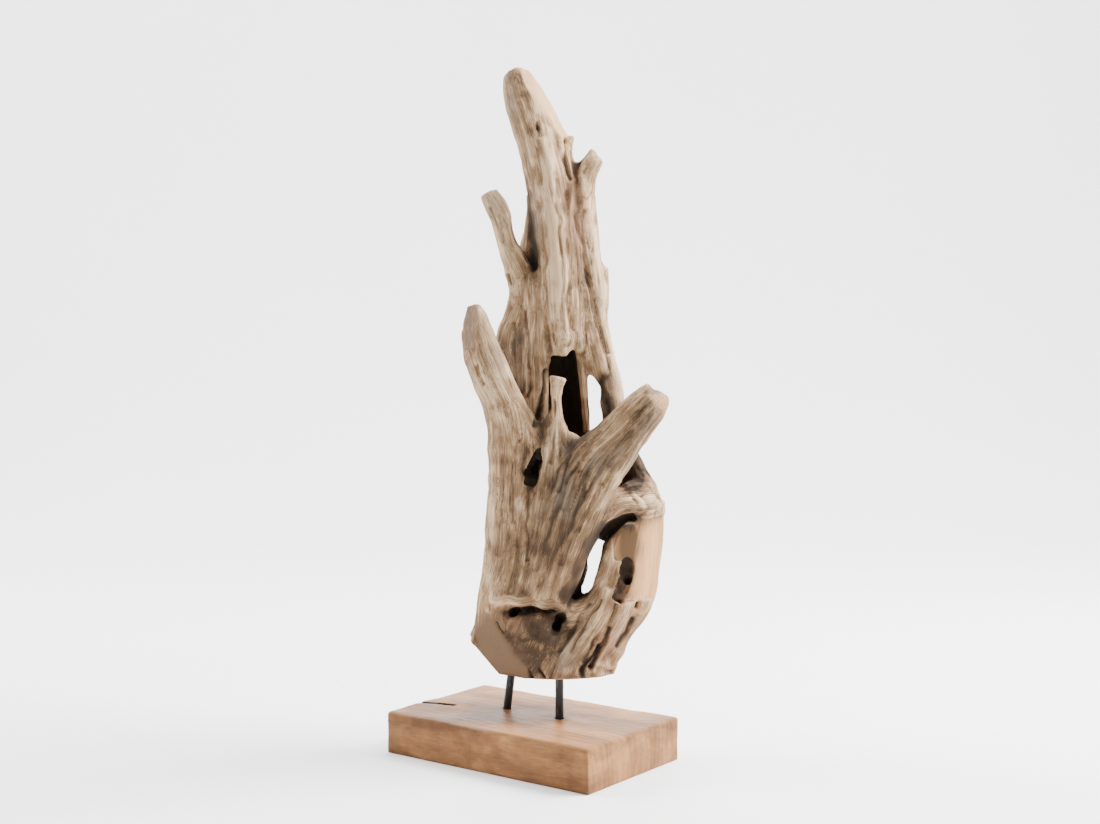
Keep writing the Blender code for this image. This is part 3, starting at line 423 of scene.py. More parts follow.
class BranchSettings(bpy.types.PropertyGroup):
    cell: FloatProperty(name="Cell", description="Size of the cells that the wood is grown in",
                        default=0.0017, min=0.001, max=0.006, unit="LENGTH")
    swell: FloatProperty(name="Swell", default=0.0045, min=0.0, max=0.02, unit="LENGTH",
                         description="How much thicker the strands are grown at first, to fill seams")
    blend: FloatProperty(name="Blend", description="How softly two ridges run into each other",
                         default=0.0055, min=0.0005, max=0.02, unit="LENGTH")
    triangles: IntProperty(name="Triangles", description="How many triangles the branch keeps",
                           default=196000, min=10000, max=199000)
    relief: FloatProperty(name="Relief", description="How deep the weathered fibres are cut",
                          default=1.0, min=0.0, max=2.0, subtype="FACTOR")
    # The dark wood colour is also where the painted shade of grooves and hollows leads, and the pale one
    # is where the painted highlight leads.
    dark: FloatVectorProperty(name="Dark wood", description="Colour of the wood in grooves",
                              subtype="COLOR", size=3, default=(0.055, 0.032, 0.017))
    middle: FloatVectorProperty(name="Wood", description="Main colour of the weathered wood",
                                subtype="COLOR", size=3, default=(0.232, 0.139, 0.072))
    pale: FloatVectorProperty(name="Pale wood", description="Colour of the bleached ridges",
                              subtype="COLOR", size=3, default=(0.62, 0.44, 0.265))
    sanded: FloatVectorProperty(name="Sanded wood", description="Colour of sawn and sanded faces",
                                subtype="COLOR", size=3, default=(0.42, 0.225, 0.098))


class PlinthSettings(bpy.types.PropertyGroup):
    cell: FloatProperty(name="Cell", description="Size of the cells that the plinth is refined in",
                        default=0.0016, min=0.001, max=0.006, unit="LENGTH")
    light: FloatVectorProperty(name="Light wood", description="Colour of the early wood",
                               subtype="COLOR", size=3, default=(0.345, 0.158, 0.055))
    dark: FloatVectorProperty(name="Dark wood", description="Colour of the late wood",
                              subtype="COLOR", size=3, default=(0.112, 0.046, 0.016))
    coat: FloatProperty(name="Clear coat", description="How much of a clear coat the top has",
                        default=0.05, min=0.0, max=1.0, subtype="FACTOR")


class PinSettings(bpy.types.PropertyGroup):
    paint: FloatVectorProperty(name="Paint", description="Colour of the painted steel",
                               subtype="COLOR", size=3, default=(0.012, 0.011, 0.011))


class StageSettings(bpy.types.PropertyGroup):
    lens: FloatProperty(name="Lens", description="Focal length of the camera in millimetres",
                        default=50.0, min=10.0, max=200.0)
    floor: FloatVectorProperty(name="Floor", description="Colour of the floor",
                               subtype="COLOR", size=3, default=(0.95, 0.95, 0.95))
    key: FloatProperty(name="Key light", description="Power of the soft light at the right in watts",
                       default=180.0, min=0.0, max=1000.0)
    fill: FloatProperty(name="Left light", description="Power of the soft light at the left in watts",
                        default=58.0, min=0.0, max=1000.0)
    front: FloatProperty(name="Front light", description="Power of the weak light in front in watts",
                         default=12.0, min=0.0, max=1000.0)
    top: FloatProperty(name="Top light", description="Power of the soft light above in watts",
                       default=80.0, min=0.0, max=1000.0)
    back: FloatProperty(name="Backdrop lights", description="Power of each backdrop light in watts",
                        default=150.0, min=0.0, max=1000.0)
    sky: FloatProperty(name="Surroundings", description="Brightness of the white surroundings",
                       default=0.26, min=0.0, max=8.0)


class Value:
    """A socket that takes part in Python sums."""

    def __init__(self, finish, socket):
        self.finish = finish
        self.socket = socket

    def maths(self, operation, first, second):
        return self.finish.node("ShaderNodeMath", {"operation": operation}, {0: first, 1: second})

    def __add__(self, other):
        return self.maths("ADD", self, other)

    def __radd__(self, other):
        return self.maths("ADD", other, self)

    def __sub__(self, other):
        return self.maths("SUBTRACT", self, other)

    def __rsub__(self, other):
        return self.maths("SUBTRACT", other, self)

    def __mul__(self, other):
        return self.maths("MULTIPLY", self, other)

    def __rmul__(self, other):
        return self.maths("MULTIPLY", other, self)

    def __pow__(self, other):
        return self.maths("POWER", self, other)

    def clipped(self):
        return self.finish.node("ShaderNodeClamp", {}, {0: self})


class Finish:
    """A material whose nodes are added by name, with their settings and their inputs."""

    def __init__(self, name):
        self.material = bpy.data.materials.new(name)
        self.material.use_nodes = True
        self.tree = self.material.node_tree
        self.shader = self.tree.nodes["Principled BSDF"]

    def node(self, kind, settings, inputs, output=0):
        node = self.tree.nodes.new(kind)
        for key, value in settings.items():
            if key == "stops":
                while len(node.color_ramp.elements) < len(value):
                    node.color_ramp.elements.new(0.5)
                for stop, (place, colour) in zip(node.color_ramp.elements, value):
                    stop.position = place
                    stop.color = (*colour, 1.0)
            else:
                setattr(node, key, value)
        for key, value in inputs.items():
            self.feed(node.inputs[key], value)
        return Value(self, node.outputs[output])

    def feed(self, socket, value):
        if isinstance(value, Value):
            self.tree.links.new(value.socket, socket)
        else:
            socket.default_value = value

    def attribute(self, name, output="Fac"):
        return self.node("ShaderNodeAttribute", {"attribute_name": name}, {}, output)

    def place(self):
        return self.node("ShaderNodeTexCoord", {}, {}, "Object")

    def stretched(self, vector, scale, turn=(0, 0, 0)):
        return self.node("ShaderNodeMapping", {}, {"Vector": vector, "Scale": scale, "Rotation": turn})

    def noise(self, vector, scale, detail=3.0, roughness=0.55, distortion=0.0):
        spot = self.stretched(vector, scale)
        return self.node("ShaderNodeTexNoise", {}, {"Vector": spot, "Scale": 1.0, "Detail": detail,
                                                    "Roughness": roughness, "Distortion": distortion})

    def ramp(self, factor, stops):
        return self.node("ShaderNodeValToRGB", {"stops": stops}, {0: factor})

    def mix(self, first, second, share, blend="MIX"):
        settings = {"data_type": "RGBA", "blend_type": blend}
        return self.node("ShaderNodeMix", settings, {0: share, 6: first, 7: second}, 2)

    def between(self, value, low, high):
        settings = {"interpolation_type": "SMOOTHSTEP"}
        return self.node("ShaderNodeMapRange", settings, {0: value, 1: low, 2: high})

    def bump(self, height, depth, strength=1.0):
        return self.node("ShaderNodeBump", {}, {"Height": height, "Distance": depth,
                                                "Strength": strength})

    def set(self, **inputs):
        for key, value in inputs.items():
            self.feed(self.shader.inputs[key.replace("_", " ")], value)


def colour(values):
    return (values[0], values[1], values[2], 1.0)


def shaded(values, share):
    """A colour made darker or lighter by a share."""
    return tuple(share * value for value in values)


def halfway(first, second):
    return tuple(0.5 * (a + b) for a, b in zip(first, second))


def weathered_teak(settings):
    """Grey-brown fibres that follow the grain, with painted shade in hollows, grooves and shaded places,
    and paler where bleached or given a painted highlight.
    """
    teak = Finish("weathered_teak")
    grain = teak.attribute("grain", "Vector")
    hollow = teak.attribute("hollow")
    bleached = teak.attribute("bleached")
    sanded = teak.attribute("sanded")
    stained = teak.attribute("stained")
    broad = teak.noise(grain, (0.13, 0.13, 0.010), 4.0, 0.6)
    fine = teak.noise(grain, (0.62, 0.62, 0.012), 5.0, 0.7)
    hair = teak.noise(grain, (1.3, 1.3, 0.035), 3.0, 0.65)
    patch = teak.noise(teak.place(), (21, 21, 11), 3.0)
    tone = 0.47 + (broad - 0.5) * 1.0 + (fine - 0.5) * 1.15 + (hair - 0.5) * 1.15
    # Painted shade darkens the tone. The paler marks add bleach and painted highlight.
    tone = tone + (patch - 0.5) * 0.8 + bleached * 0.34 - hollow * 0.45 - stained * 0.40
    weathered = teak.ramp(tone.clipped(), [
        (0.0, settings.dark), (0.24, halfway(settings.dark, settings.middle)),
        (0.48, settings.middle), (0.95, settings.pale)])
    tint = teak.noise(teak.place(), (13, 13, 7), 3.0)
    weathered = teak.mix(weathered, GREY_WOOD, teak.between(tint, 0.52, 0.72) * 0.35)
    weathered = teak.mix(weathered, RED_WOOD, teak.between(tint, 0.46, 0.30) * 0.30)
    lines = teak.noise(grain, (0.35, 0.35, 0.012), 4.0)
    # Sanded faces take the same painted highlight and painted shade marks.
    cut_tone = 0.5 + (lines - 0.5) * 0.9 + (fine - 0.5) * 0.5 + bleached * 0.4 - stained * 0.75
    cut = teak.ramp(cut_tone.clipped(), [
        (0.05, shaded(settings.sanded, 0.28)), (0.5, shaded(settings.sanded, 0.95)),
        (0.95, shaded(settings.sanded, 1.45))])
    shade = teak.mix(weathered, cut, sanded)
    # Painted shade: grooves, hollows, cracks and the drawn shaded places are mixed towards near black.
    streaked_shade = hollow + (fine - 0.5) * stained * 1.6
    shade = teak.mix(shade, PAINTED_HOLLOW_SHADE, teak.between(streaked_shade, 0.50, 1.25) * 0.95)
    rough = 0.88 - sanded * 0.30 + (fine - 0.5) * 0.15
    height = (fine * 0.6 + hair * 0.4) * (1.0 - 0.8 * sanded)
    teak.set(Base_Color=shade, Roughness=rough, Normal=teak.bump(height, 0.0012, 0.9))
    teak.shader.inputs["Specular IOR Level"].default_value = 0.25
    return teak.material


def sawn_teak(settings):
    """Growth rings about a far-off pith, with pores along them and a thin coat on top, painted shade in
    the crack and recesses, and a front face painted darker.
    """
    wood = Finish("sawn_teak_plinth")
    place = wood.place()
    wander = wood.noise(place, (5, 14, 14), 2.0)
    spread = wood.node("ShaderNodeSeparateXYZ", {}, {0: place}, "Y")
    rise = wood.node("ShaderNodeSeparateXYZ", {}, {0: place}, "Z")
    away = spread + PITH_AWAY
    above = rise - PITH_HEIGHT
    ring = (away * away + above * above * 3.0) ** 0.5
    bands = wood.node("ShaderNodeMath", {"operation": "SINE"}, {0: (ring + wander * 0.045) * 620.0})
    broad = wood.node("ShaderNodeMath", {"operation": "SINE"}, {0: (ring + wander * 0.06) * 150.0})
    pores = wood.noise(place, (60, 900, 900), 3.0, 0.6)
    patch = wood.noise(place, (8, 11, 20), 4.0, 0.6, 0.8)
    swirl = wood.noise(place, (16, 50, 50), 4.0, 0.6, 1.2)
    saw = wood.noise(place, (90, 420, 60), 2.0, 0.6)
    tone = 0.58 + bands * 0.07 + broad * 0.08 + (pores - 0.5) * 0.60 + (patch - 0.5) * 1.9
    # Painted shade: the face towards the front is drawn darker.
    tone = tone + (swirl - 0.5) * 0.8 + (saw - 0.5) * 0.3 - wood.attribute("front") * 0.26
    shade = wood.ramp(tone.clipped(), [
        (0.05, settings.dark), (0.5, halfway(settings.dark, settings.light)),
        (0.8, settings.light), (1.0, shaded(settings.light, 1.18))])
    # Painted shade in the crack and in the plinth's recesses.
    hollow = wood.attribute("hollow")
    shade = wood.mix(shade, PAINTED_CRACK_SHADE, wood.between(hollow, 0.30, 0.70) * 0.97)
    top = wood.attribute("top")
    scratches = wood.noise(wood.stretched(place, (1, 1, 1), (0, 0, 0.75)), (420, 28, 60), 3.0, 0.6)
    rough = 0.60 - top * 0.14 + (swirl - 0.5) * 0.5 + (scratches - 0.5) * 0.5
    height = pores * 0.4 + swirl * 0.5 + saw * 0.3 + scratches * top * 0.5
    wood.set(Base_Color=shade, Roughness=rough, Coat_Weight=top * settings.coat,
             Normal=wood.bump(height, 0.0006, 0.6))
    wood.shader.inputs["Coat Roughness"].default_value = 0.25
    wood.shader.inputs["Specular IOR Level"].default_value = 0.2
    return wood.material


def black_steel(settings):
    """Satin black paint on steel rod, rubbed a little along its length."""
    steel = Finish("black_steel_pins")
    place = steel.place()
    drawn_marks = steel.noise(place, (900, 900, 40), 3.0)
    rubbed = steel.noise(place, (140, 140, 60), 3.0)
    shade = steel.mix(colour(settings.paint), RUBBED_STEEL,
                      steel.between(rubbed, 0.52, 0.80) * 0.8)
    steel.set(Base_Color=shade, Roughness=0.34 + drawn_marks * 0.22,
              Normal=steel.bump(drawn_marks, 0.0002, 0.5))
    steel.shader.inputs["Metallic"].default_value = 0.3
    return steel.material


def white_floor(settings):
    floor = Finish("pale_floor")
    speckle = floor.noise(floor.place(), (3, 3, 3), 2.0)
    floor.set(Base_Color=floor.mix(colour(settings.floor), colour([0.97 * c for c in settings.floor]),
                                   speckle))
    floor.shader.inputs["Roughness"].default_value = 0.9
    floor.shader.inputs["Specular IOR Level"].default_value = 0.0
    return floor.material


def select_only(obj):
    bpy.ops.object.select_all(action="DESELECT")
    obj.select_set(True)
    bpy.context.view_layer.objects.active = obj


def modify(obj, kind, **settings):
    """Add a modifier with its settings and apply it."""
    select_only(obj)
    bpy.ops.object.modifier_add(type=kind)
    modifier = obj.modifiers[-1]
    for key, value in settings.items():
        setattr(modifier, key, value)
    bpy.ops.object.modifier_apply(modifier=modifier.name)


def remove(obj):
    bpy.data.objects.remove(obj)


def cut_away(body, tool):
    """Take a solid out of the body, and remove the solid."""
    modify(body, "BOOLEAN", operation="DIFFERENCE", solver="MANIFOLD", object=tool)
    remove(tool)


def keep_largest_shell(obj):
    """Drop loose scraps and the skins of sealed hollows."""
    name = obj.name
    select_only(obj)
    bpy.ops.object.mode_set(mode="EDIT")
    bpy.ops.mesh.select_all(action="SELECT")
    bpy.ops.mesh.separate(type="LOOSE")
    bpy.ops.object.mode_set(mode="OBJECT")
    shells = sorted(bpy.context.selected_objects, key=lambda shell: len(shell.data.vertices))
    for scrap in shells[:-1]:
        remove(scrap)
    shells[-1].name = name
    return shells[-1]


def seen(across, up, back):
    """The point on the line of sight through (across, up) on the drawing, all in millimetres."""
    side = across * MM / DRAWN_AT
    rise = (up * MM - EYE_RISE) / DRAWN_AT
    ahead = math.cos(EYE_TILT) + rise * math.sin(EYE_TILT)
    reach = (back * MM - EYE.y) / ahead
    height = EYE.z + reach * (rise * math.cos(EYE_TILT) - math.sin(EYE_TILT))
    return Vector((EYE.x + reach * side, back * MM, height))


def drawn(points):
    """Where points of the branch's own frame are on the drawing, in millimetres."""
    away = points[:, 1] - EYE.y
    slope = (points[:, 2] - EYE.z) / away
    rise = (slope * math.cos(EYE_TILT) + math.sin(EYE_TILT)) / (
        math.cos(EYE_TILT) - slope * math.sin(EYE_TILT))
    ahead = math.cos(EYE_TILT) + rise * math.sin(EYE_TILT)
    side = (points[:, 0] - EYE.x) * ahead / away
    return np.stack([side * DRAWN_AT / MM, (rise * DRAWN_AT + EYE_RISE) / MM], 1)


def near_line(spots, line):
    """How far each spot on the drawing is from a drawn line."""
    best = np.full(len(spots), 1e9)
    for start, end in zip(line[:-1], line[1:]):
        start, run = np.array(start, float), np.subtract(end, start)
        share = np.clip((spots - start) @ run / (run @ run), 0, 1)
        best = np.minimum(best, np.linalg.norm(spots - start - share[:, None] * run, axis=1))
    return best


def all_strands():
    strands = {}
    for region in (TRUNK, THIN_BRANCH, LEFT_LIMB, CENTRE, RIGHT_LIMB, LOOP, BASE, BACK):
        strands.update(region)
    strands.update(stack("fin", FIN_PATH, FIN_LAYERS))
    return strands


def stack(name, path, layers):
    """Strands along one path, one behind the other."""
    return {f"{name}_{number}": [(across + shift, up, back, radius) for across, up in path]
            for number, (back, radius, shift) in enumerate(layers)}


def strand_object(name, strands, swell=0.0):
    """Strands as one mesh of closed tubes, made thicker by swell, and their middle lines."""
    bpy.ops.object.select_all(action="DESELECT")
    bpy.ops.curve.primitive_bezier_curve_add()
    obj = bpy.context.object
    obj.name = name
    curve = obj.data
    curve.splines.clear()
    curve.bevel_depth = 1.0
    curve.bevel_resolution = 4
    curve.resolution_u = 8
    curve.use_fill_caps = True
    for points in strands.values():
        spline = curve.splines.new("BEZIER")
        spline.bezier_points.add(len(points) - 1)
        for knot, (across, up, back, radius) in zip(spline.bezier_points, points):
            knot.co = seen(across, up, back)
            knot.radius = (radius + swell) * MM
            knot.handle_left_type = "AUTO"
            knot.handle_right_type = "AUTO"
    bpy.context.view_layer.update()
    lines = [middle_line(spline, swell) for spline in curve.splines]
    bpy.ops.object.convert(target="MESH")
    obj = bpy.context.object
    bpy.ops.object.mode_set(mode="EDIT")
    bpy.ops.mesh.select_all(action="SELECT")
    bpy.ops.mesh.remove_doubles(threshold=1e-6)
    bpy.ops.mesh.normals_make_consistent(inside=False)
    bpy.ops.object.mode_set(mode="OBJECT")
    return obj, lines


def middle_line(spline, swell):
    """A strand's points every few millimetres, with radius, direction and distance along it."""
    places, radii = [], []
    knots = spline.bezier_points
    for first, second in zip(knots[:-1], knots[1:]):
        count = max(3, int((second.co - first.co).length / 0.0035) + 1)
        steps = interpolate_bezier(first.co, first.handle_right, second.handle_left, second.co,
                                   count + 1)
        for step, place in enumerate(steps[:-1]):
            places.append(place)
            radii.append(first.radius + (second.radius - first.radius) * step / count)
    places.append(knots[-1].co)
    radii.append(knots[-1].radius)
    places = np.array(places, float) / MM
    ways = np.gradient(places, axis=0)
    ways /= np.linalg.norm(ways, axis=1, keepdims=True)
    gaps = np.linalg.norm(np.diff(places, axis=0), axis=1)
    return places, np.array(radii) / MM - swell, ways, np.concatenate([[0], np.cumsum(gaps)])


def flow(points, lines, count=3):
    """Each point's nearest strands, in millimetres: how far it is from their surfaces, their
    numbers, where it is across and along each, the way to it, and the radius of the nearest."""
    places = np.concatenate([line[0] for line in lines])
    radii = np.concatenate([line[1] for line in lines])
    ways = np.concatenate([line[2] for line in lines])
    along = np.concatenate([line[3] for line in lines])
    owner = np.concatenate([np.full(len(line[0]), number) for number, line in enumerate(lines)])
    back = np.array([0.0, 1.0, 0.0])
    out = back - ways * (ways @ back)[:, None]
    out /= np.linalg.norm(out, axis=1, keepdims=True)
    side = np.cross(ways, out)
    gaps = np.zeros((len(points), count))
    numbers = np.zeros((len(points), count), int)
    coords = np.zeros((len(points), count, 3))
    spread = np.zeros((len(points), count, 3))
    thickness = np.zeros(len(points))
    order = np.argsort(points[:, 2], kind="stable")
    for rows in np.array_split(order, max(1, len(points) // 2500)):
        spots = points[rows]
        low, high = spots[:, 2].min() - 45, spots[:, 2].max() + 45
        close = np.nonzero((places[:, 2] > low) & (places[:, 2] < high))[0]
        square = (spots ** 2).sum(1)[:, None] + (places[close] ** 2).sum(1)
        gap = np.sqrt(np.maximum(square - 2 * spots @ places[close].T, 1e-6)) - radii[close]
        for rank in range(count):
            pick = gap.argmin(1)
            spot = close[pick]
            away = spots - places[spot]
            numbers[rows, rank] = owner[spot]
            gaps[rows, rank] = gap[np.arange(len(rows)), pick]
            coords[rows, rank, 0] = (away * out[spot]).sum(1)
            coords[rows, rank, 1] = (away * side[spot]).sum(1)
            coords[rows, rank, 2] = along[spot] + (away * ways[spot]).sum(1)
            spread[rows, rank] = away / np.linalg.norm(away, axis=1, keepdims=True)
            if rank == 0:
                thickness[rows] = radii[spot]
            if rank + 1 < count:
                gap[owner[close][None] == owner[spot][:, None]] = 1e6
    return gaps, numbers, coords, spread, thickness


def settle(body, lines, swell, blend):
    """Draw a swollen body back onto its strands, which leaves the seams between them filled."""
    places, _ = get_mesh(body.data)
    gaps, _, _, spread, _ = flow(places / MM, lines, 4)
    weight = np.exp(-(gaps - gaps[:, :1]) / blend)
    total = weight.sum(1)
    field = gaps[:, 0] - blend * np.log(total)
    slope = (spread * (weight / total[:, None])[:, :, None]).sum(1)
    steep = np.maximum((slope ** 2).sum(1), 0.5)
    put_mesh(body.data, places - slope * (np.clip(field, 0, swell) / steep)[:, None] * MM)


def scatter(cells, seed):
    """A number between 0 and 1 for each cell, the same each time."""
    mask = 0xffffffff
    value = (cells[0] * 374761393 + cells[1] * 668265263 + cells[2] * 2147483647
             + seed * 1274126177) & mask
    value = ((value ^ (value >> 13)) * 1274126177) & mask
    value = ((value ^ (value >> 16)) * 2246822519) & mask
    return ((value ^ (value >> 15)) & 0xffffff) / float(0xffffff)


def lumps(points, seed):
    """Smooth noise from -1 to 1, with lumps one unit across."""
    cell = np.floor(points).astype(np.int64)
    part = points - cell
    part = part ** 3 * (part * (part * 6 - 15) + 10)
    total = 0
    for corner in range(8):
        step = np.array([corner & 1, corner >> 1 & 1, corner >> 2])
        weight = np.prod(np.where(step, part, 1 - part), axis=1)
        total = total + weight * scatter((cell + step).T, seed)
    return total * 2 - 1


def fibres(strands, width, length, seed):
    """Noise drawn out along the grain."""
    gaps, numbers, coords = strands[:3]
    shares = np.exp(-(gaps - gaps[:, :1]) / 2.0)
    shares /= shares.sum(1, keepdims=True)
    total = 0
    for rank in range(gaps.shape[1]):
        shift = numbers[:, rank:rank + 1] * np.array([17.3, 5.1, 9.7])
        spots = coords[:, rank] / np.array([width, width, length]) + shift
        total = total + shares[:, rank] * lumps(spots, seed)
    return total


def get_mesh(mesh):
    places = np.empty(len(mesh.vertices) * 3, np.float32)
    normals = np.empty(len(mesh.vertices) * 3, np.float32)
    mesh.vertices.foreach_get("co", places)
    mesh.vertex_normals.foreach_get("vector", normals)
    return places.reshape(-1, 3).astype(float), normals.reshape(-1, 3).astype(float)


def put_mesh(mesh, places):
    mesh.vertices.foreach_set("co", places.astype(np.float32).ravel())
    mesh.update()


def put_attribute(mesh, name, values):
    kind = "FLOAT_VECTOR" if values.ndim == 2 else "FLOAT"
    layer = mesh.attributes.new(name, kind, "POINT")
    layer.data.foreach_set("vector" if values.ndim == 2 else "value",
                           values.astype(np.float32).ravel())


def flat_share(places):
    """How much each point lies on a sawn or sanded face, from 0 to 1."""
    share = np.zeros(len(places))
    for point, facing, reach in FLATS.values():
        middle, facing = np.array(seen(*point)), np.array(Vector(facing).normalized())
        gap = (places - middle) / MM
        off = np.abs(gap @ facing)
        beside = np.linalg.norm(gap - (gap @ facing)[:, None] * facing, axis=1)
        share = np.maximum(share, np.clip(1.6 - off, 0, 1) * (beside < reach * 0.7))
    foot = (places[:, 2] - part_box("teak_branch")[0].z) / MM
    return np.maximum(share, np.clip(1.6 - foot, 0, 1))


def toward_eye(places, normals):
    ways = np.array(EYE) - places
    ways /= np.linalg.norm(ways, axis=1, keepdims=True)
    return np.clip((ways * normals).sum(1) * 3, 0, 1)


def relief(places, normals, strands, amount):
    """How far each point stands out from the grown body, in millimetres."""
    thickness = np.clip(strands[4] / 10, 0.3, 1)
    height = sum(rise * fibres(strands, width, length, seed) for width, length, rise, seed in FIBRES)
    for width, length, edge, depth, seed in CREASES:
        crease = np.clip(1 - np.abs(fibres(strands, width, length, seed)) / edge, 0, 1)
        where = np.clip(2.5 * fibres(strands, width * 3, length, seed + 1) + 0.35, 0, 1)
        height -= depth * crease * where
    height *= 0.50 + 0.80 * np.clip(0.5 + 1.2 * lumps(places / MM / 46, 7), 0, 1)
    height += 1.6 * lumps(places / MM / 28, 8) + 0.9 * lumps(places / MM / 13, 9)
    height *= thickness * (1 - 0.92 * flat_share(places))
    spots, facing = drawn(places), toward_eye(places, normals)
    wavy = jittered(spots, places, 2.6)
    uneven = np.clip(0.9 + 0.8 * lumps(places / MM / 17, 32), 0.35, 1.5)
    for line, width, depth in GROOVES.values():
        height -= depth * uneven * facing * np.exp(-(near_line(wavy, line) / width) ** 2)
    middle, reach, depth = KNOT
    gap = spots - middle
    ring = np.linalg.norm(gap * (1, 1.15), axis=1)
    ring = ring + 9.0 * lumps(np.column_stack([spots / 12, spots[:, 0] * 0]), 10)
    ring = ring + 0.22 * reach * np.arctan2(gap[:, 1], gap[:, 0])
    height += depth * facing * np.sin(ring * 0.95) * np.clip(1.2 - ring / reach, 0, 1)
    return height * amount


def neighbours_mean(values, edges, degree):
    total = np.zeros_like(values)
    for axis in range(values.shape[1]):
        total[:, axis] = (np.bincount(edges[:, 0], values[edges[:, 1], axis], len(values))
                          + np.bincount(edges[:, 1], values[edges[:, 0], axis], len(values)))
    return total / degree[:, None]


def hollows(mesh, rays=24, reach=0.045):
    """How deep each point lies in a groove or a hollow, from 0 on a ridge to 1 and over, and how much the
    wood around shuts it in, for the painted shade.
    """
    places, normals = get_mesh(mesh)
    edges = np.empty(len(mesh.edges) * 2, np.int32)
    mesh.edges.foreach_get("vertices", edges)
    edges = edges.reshape(-1, 2)
    degree = np.maximum(np.bincount(edges.ravel(), minlength=len(places)), 1)
    smooth = places
    for _ in range(14):
        smooth = 0.5 * smooth + 0.5 * neighbours_mean(smooth, edges, degree)
    groove = ((smooth - places) * normals).sum(1) / MM
    tree = BVHTree.FromPolygons([tuple(place) for place in places],
                                [tuple(face.vertices) for face in mesh.polygons])
    turn = math.pi * (3 - math.sqrt(5))
    level = 1 - 2 * (np.arange(rays) + 0.5) / rays
    ring = np.sqrt(1 - level ** 2)
    ways = np.stack([ring * np.cos(turn * np.arange(rays)), ring * np.sin(turn * np.arange(rays)),
                     level], 1)
    shut = np.zeros(len(places))
    facing = normals @ ways.T
    starts = places + normals * 0.0006
    for number, way in enumerate(ways):
        way = Vector(way)
        for row in np.nonzero(facing[:, number] > 0.15)[0]:
            hit = tree.ray_cast(Vector(starts[row]), way, reach)
            if hit[3] is not None:
                shut[row] += facing[row, number] * (1 - hit[3] / reach)
    shut /= np.where(facing > 0.15, facing, 0).sum(1) + 1e-6
    shut = shut[:, None]
    for _ in range(3):
        shut = 0.5 * shut + 0.5 * neighbours_mean(shut, edges, degree)
    return groove, shut[:, 0]


def drawn_amount(table, spots, facing, backs):
    """How strongly a table's drawn marks colour each point."""
    total = np.zeros(len(spots))
    for line, width, strength, start in table.values():
        share = np.clip((backs - start) / 4 + 0.5, 0, 1) * strength
        total = np.maximum(total, share * np.exp(-(near_line(spots, line) / width) ** 2))
    return total * facing


def jittered(spots, places, amount):
    """Spots on the drawing, pushed about so that drawn lines wander."""
    push = np.stack([lumps(places / MM / 15, 30), lumps(places / MM / 15, 31)], 1)
    return spots + amount * push


def hollow_spaces(cell):
    """The hollows and the passages as one solid."""
    cuts = dict(HOLLOWS)
    for name, (path, backs) in PASSAGES.items():
        for back in backs:
            cuts[f"{name}_{back}"] = [(across, up, back, radius) for across, up, radius in path]
    spaces, _ = strand_object("hollow_spaces", cuts)
    modify(spaces, "REMESH", mode="VOXEL", voxel_size=cell)
    return spaces


def flat_block(point, facing, reach):
    """A block that stands on a sawn or sanded face, on the side that was taken off."""
    bpy.ops.object.select_all(action="DESELECT")
    bpy.ops.mesh.primitive_cube_add(size=reach * MM)
    block = bpy.context.object
    turn = Vector(facing).to_track_quat("Z", "Y").to_matrix().to_4x4()
    lift = Matrix.Translation((0, 0, reach * MM / 2))
    block.matrix_world = Matrix.Translation(seen(*point)) @ turn @ lift
    return block


def grow_branch(settings):
    """The body of the branch, with its hollows and flat faces, in its own frame."""
    body, lines = strand_object("teak_branch_wood", all_strands(), settings.swell / MM)
    modify(body, "REMESH", mode="VOXEL", voxel_size=settings.cell * 1.3)
    body = keep_largest_shell(body)
    settle(body, lines, settings.swell / MM, settings.blend / MM)
    modify(body, "SMOOTH", factor=0.5, iterations=4)
    cut_away(body, hollow_spaces(settings.cell))
    for point, facing, reach in FLATS.values():
        cut_away(body, flat_block(point, facing, reach))
    modify(body, "REMESH", mode="VOXEL", voxel_size=settings.cell)
    modify(body, "SMOOTH", factor=0.5, iterations=2)
    return keep_largest_shell(body), lines


def cut_pin_holes(body):
    """Holes where the CAD's pins go in."""
    for name in ("pin_left", "pin_right"):
        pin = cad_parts[name]
        places, _ = get_mesh(pin.data)
        low, high = places[:, 2].min(), places[:, 2].max()
        foot = places[places[:, 2] < low + 0.004].mean(0)
        head = places[places[:, 2] > high - 0.004].mean(0)
        way = Vector(head - foot)
        bpy.ops.object.select_all(action="DESELECT")
        bpy.ops.mesh.primitive_cylinder_add(vertices=48, radius=PIN_HOLE_RADIUS,
                                            depth=way.length + 0.002)
        hole = bpy.context.object
        turn = way.to_track_quat("Z", "Y").to_matrix().to_4x4()
        hole.matrix_world = Matrix.Translation(Vector(head + foot) / 2) @ turn
        cut_away(body, hole)


def upright_grain(places, numbers, coords):
    """Let the grain of the foot run down and to the left, although its strands lie level."""
    level = [number for number, name in enumerate(all_strands()) if name in BASE]
    rows = np.isin(numbers, level)
    slant = np.array(Matrix.Rotation(FOOT_SLANT, 3, "Y"))
    wander = 2.5 * np.stack([lumps(places / MM / 16, 40), lumps(places / MM / 16, 41),
                             np.zeros(len(places))], 1)
    turned = (places / MM + wander) @ slant.T
    coords[rows] = np.repeat(turned[:, None], numbers.shape[1], 1)[rows]


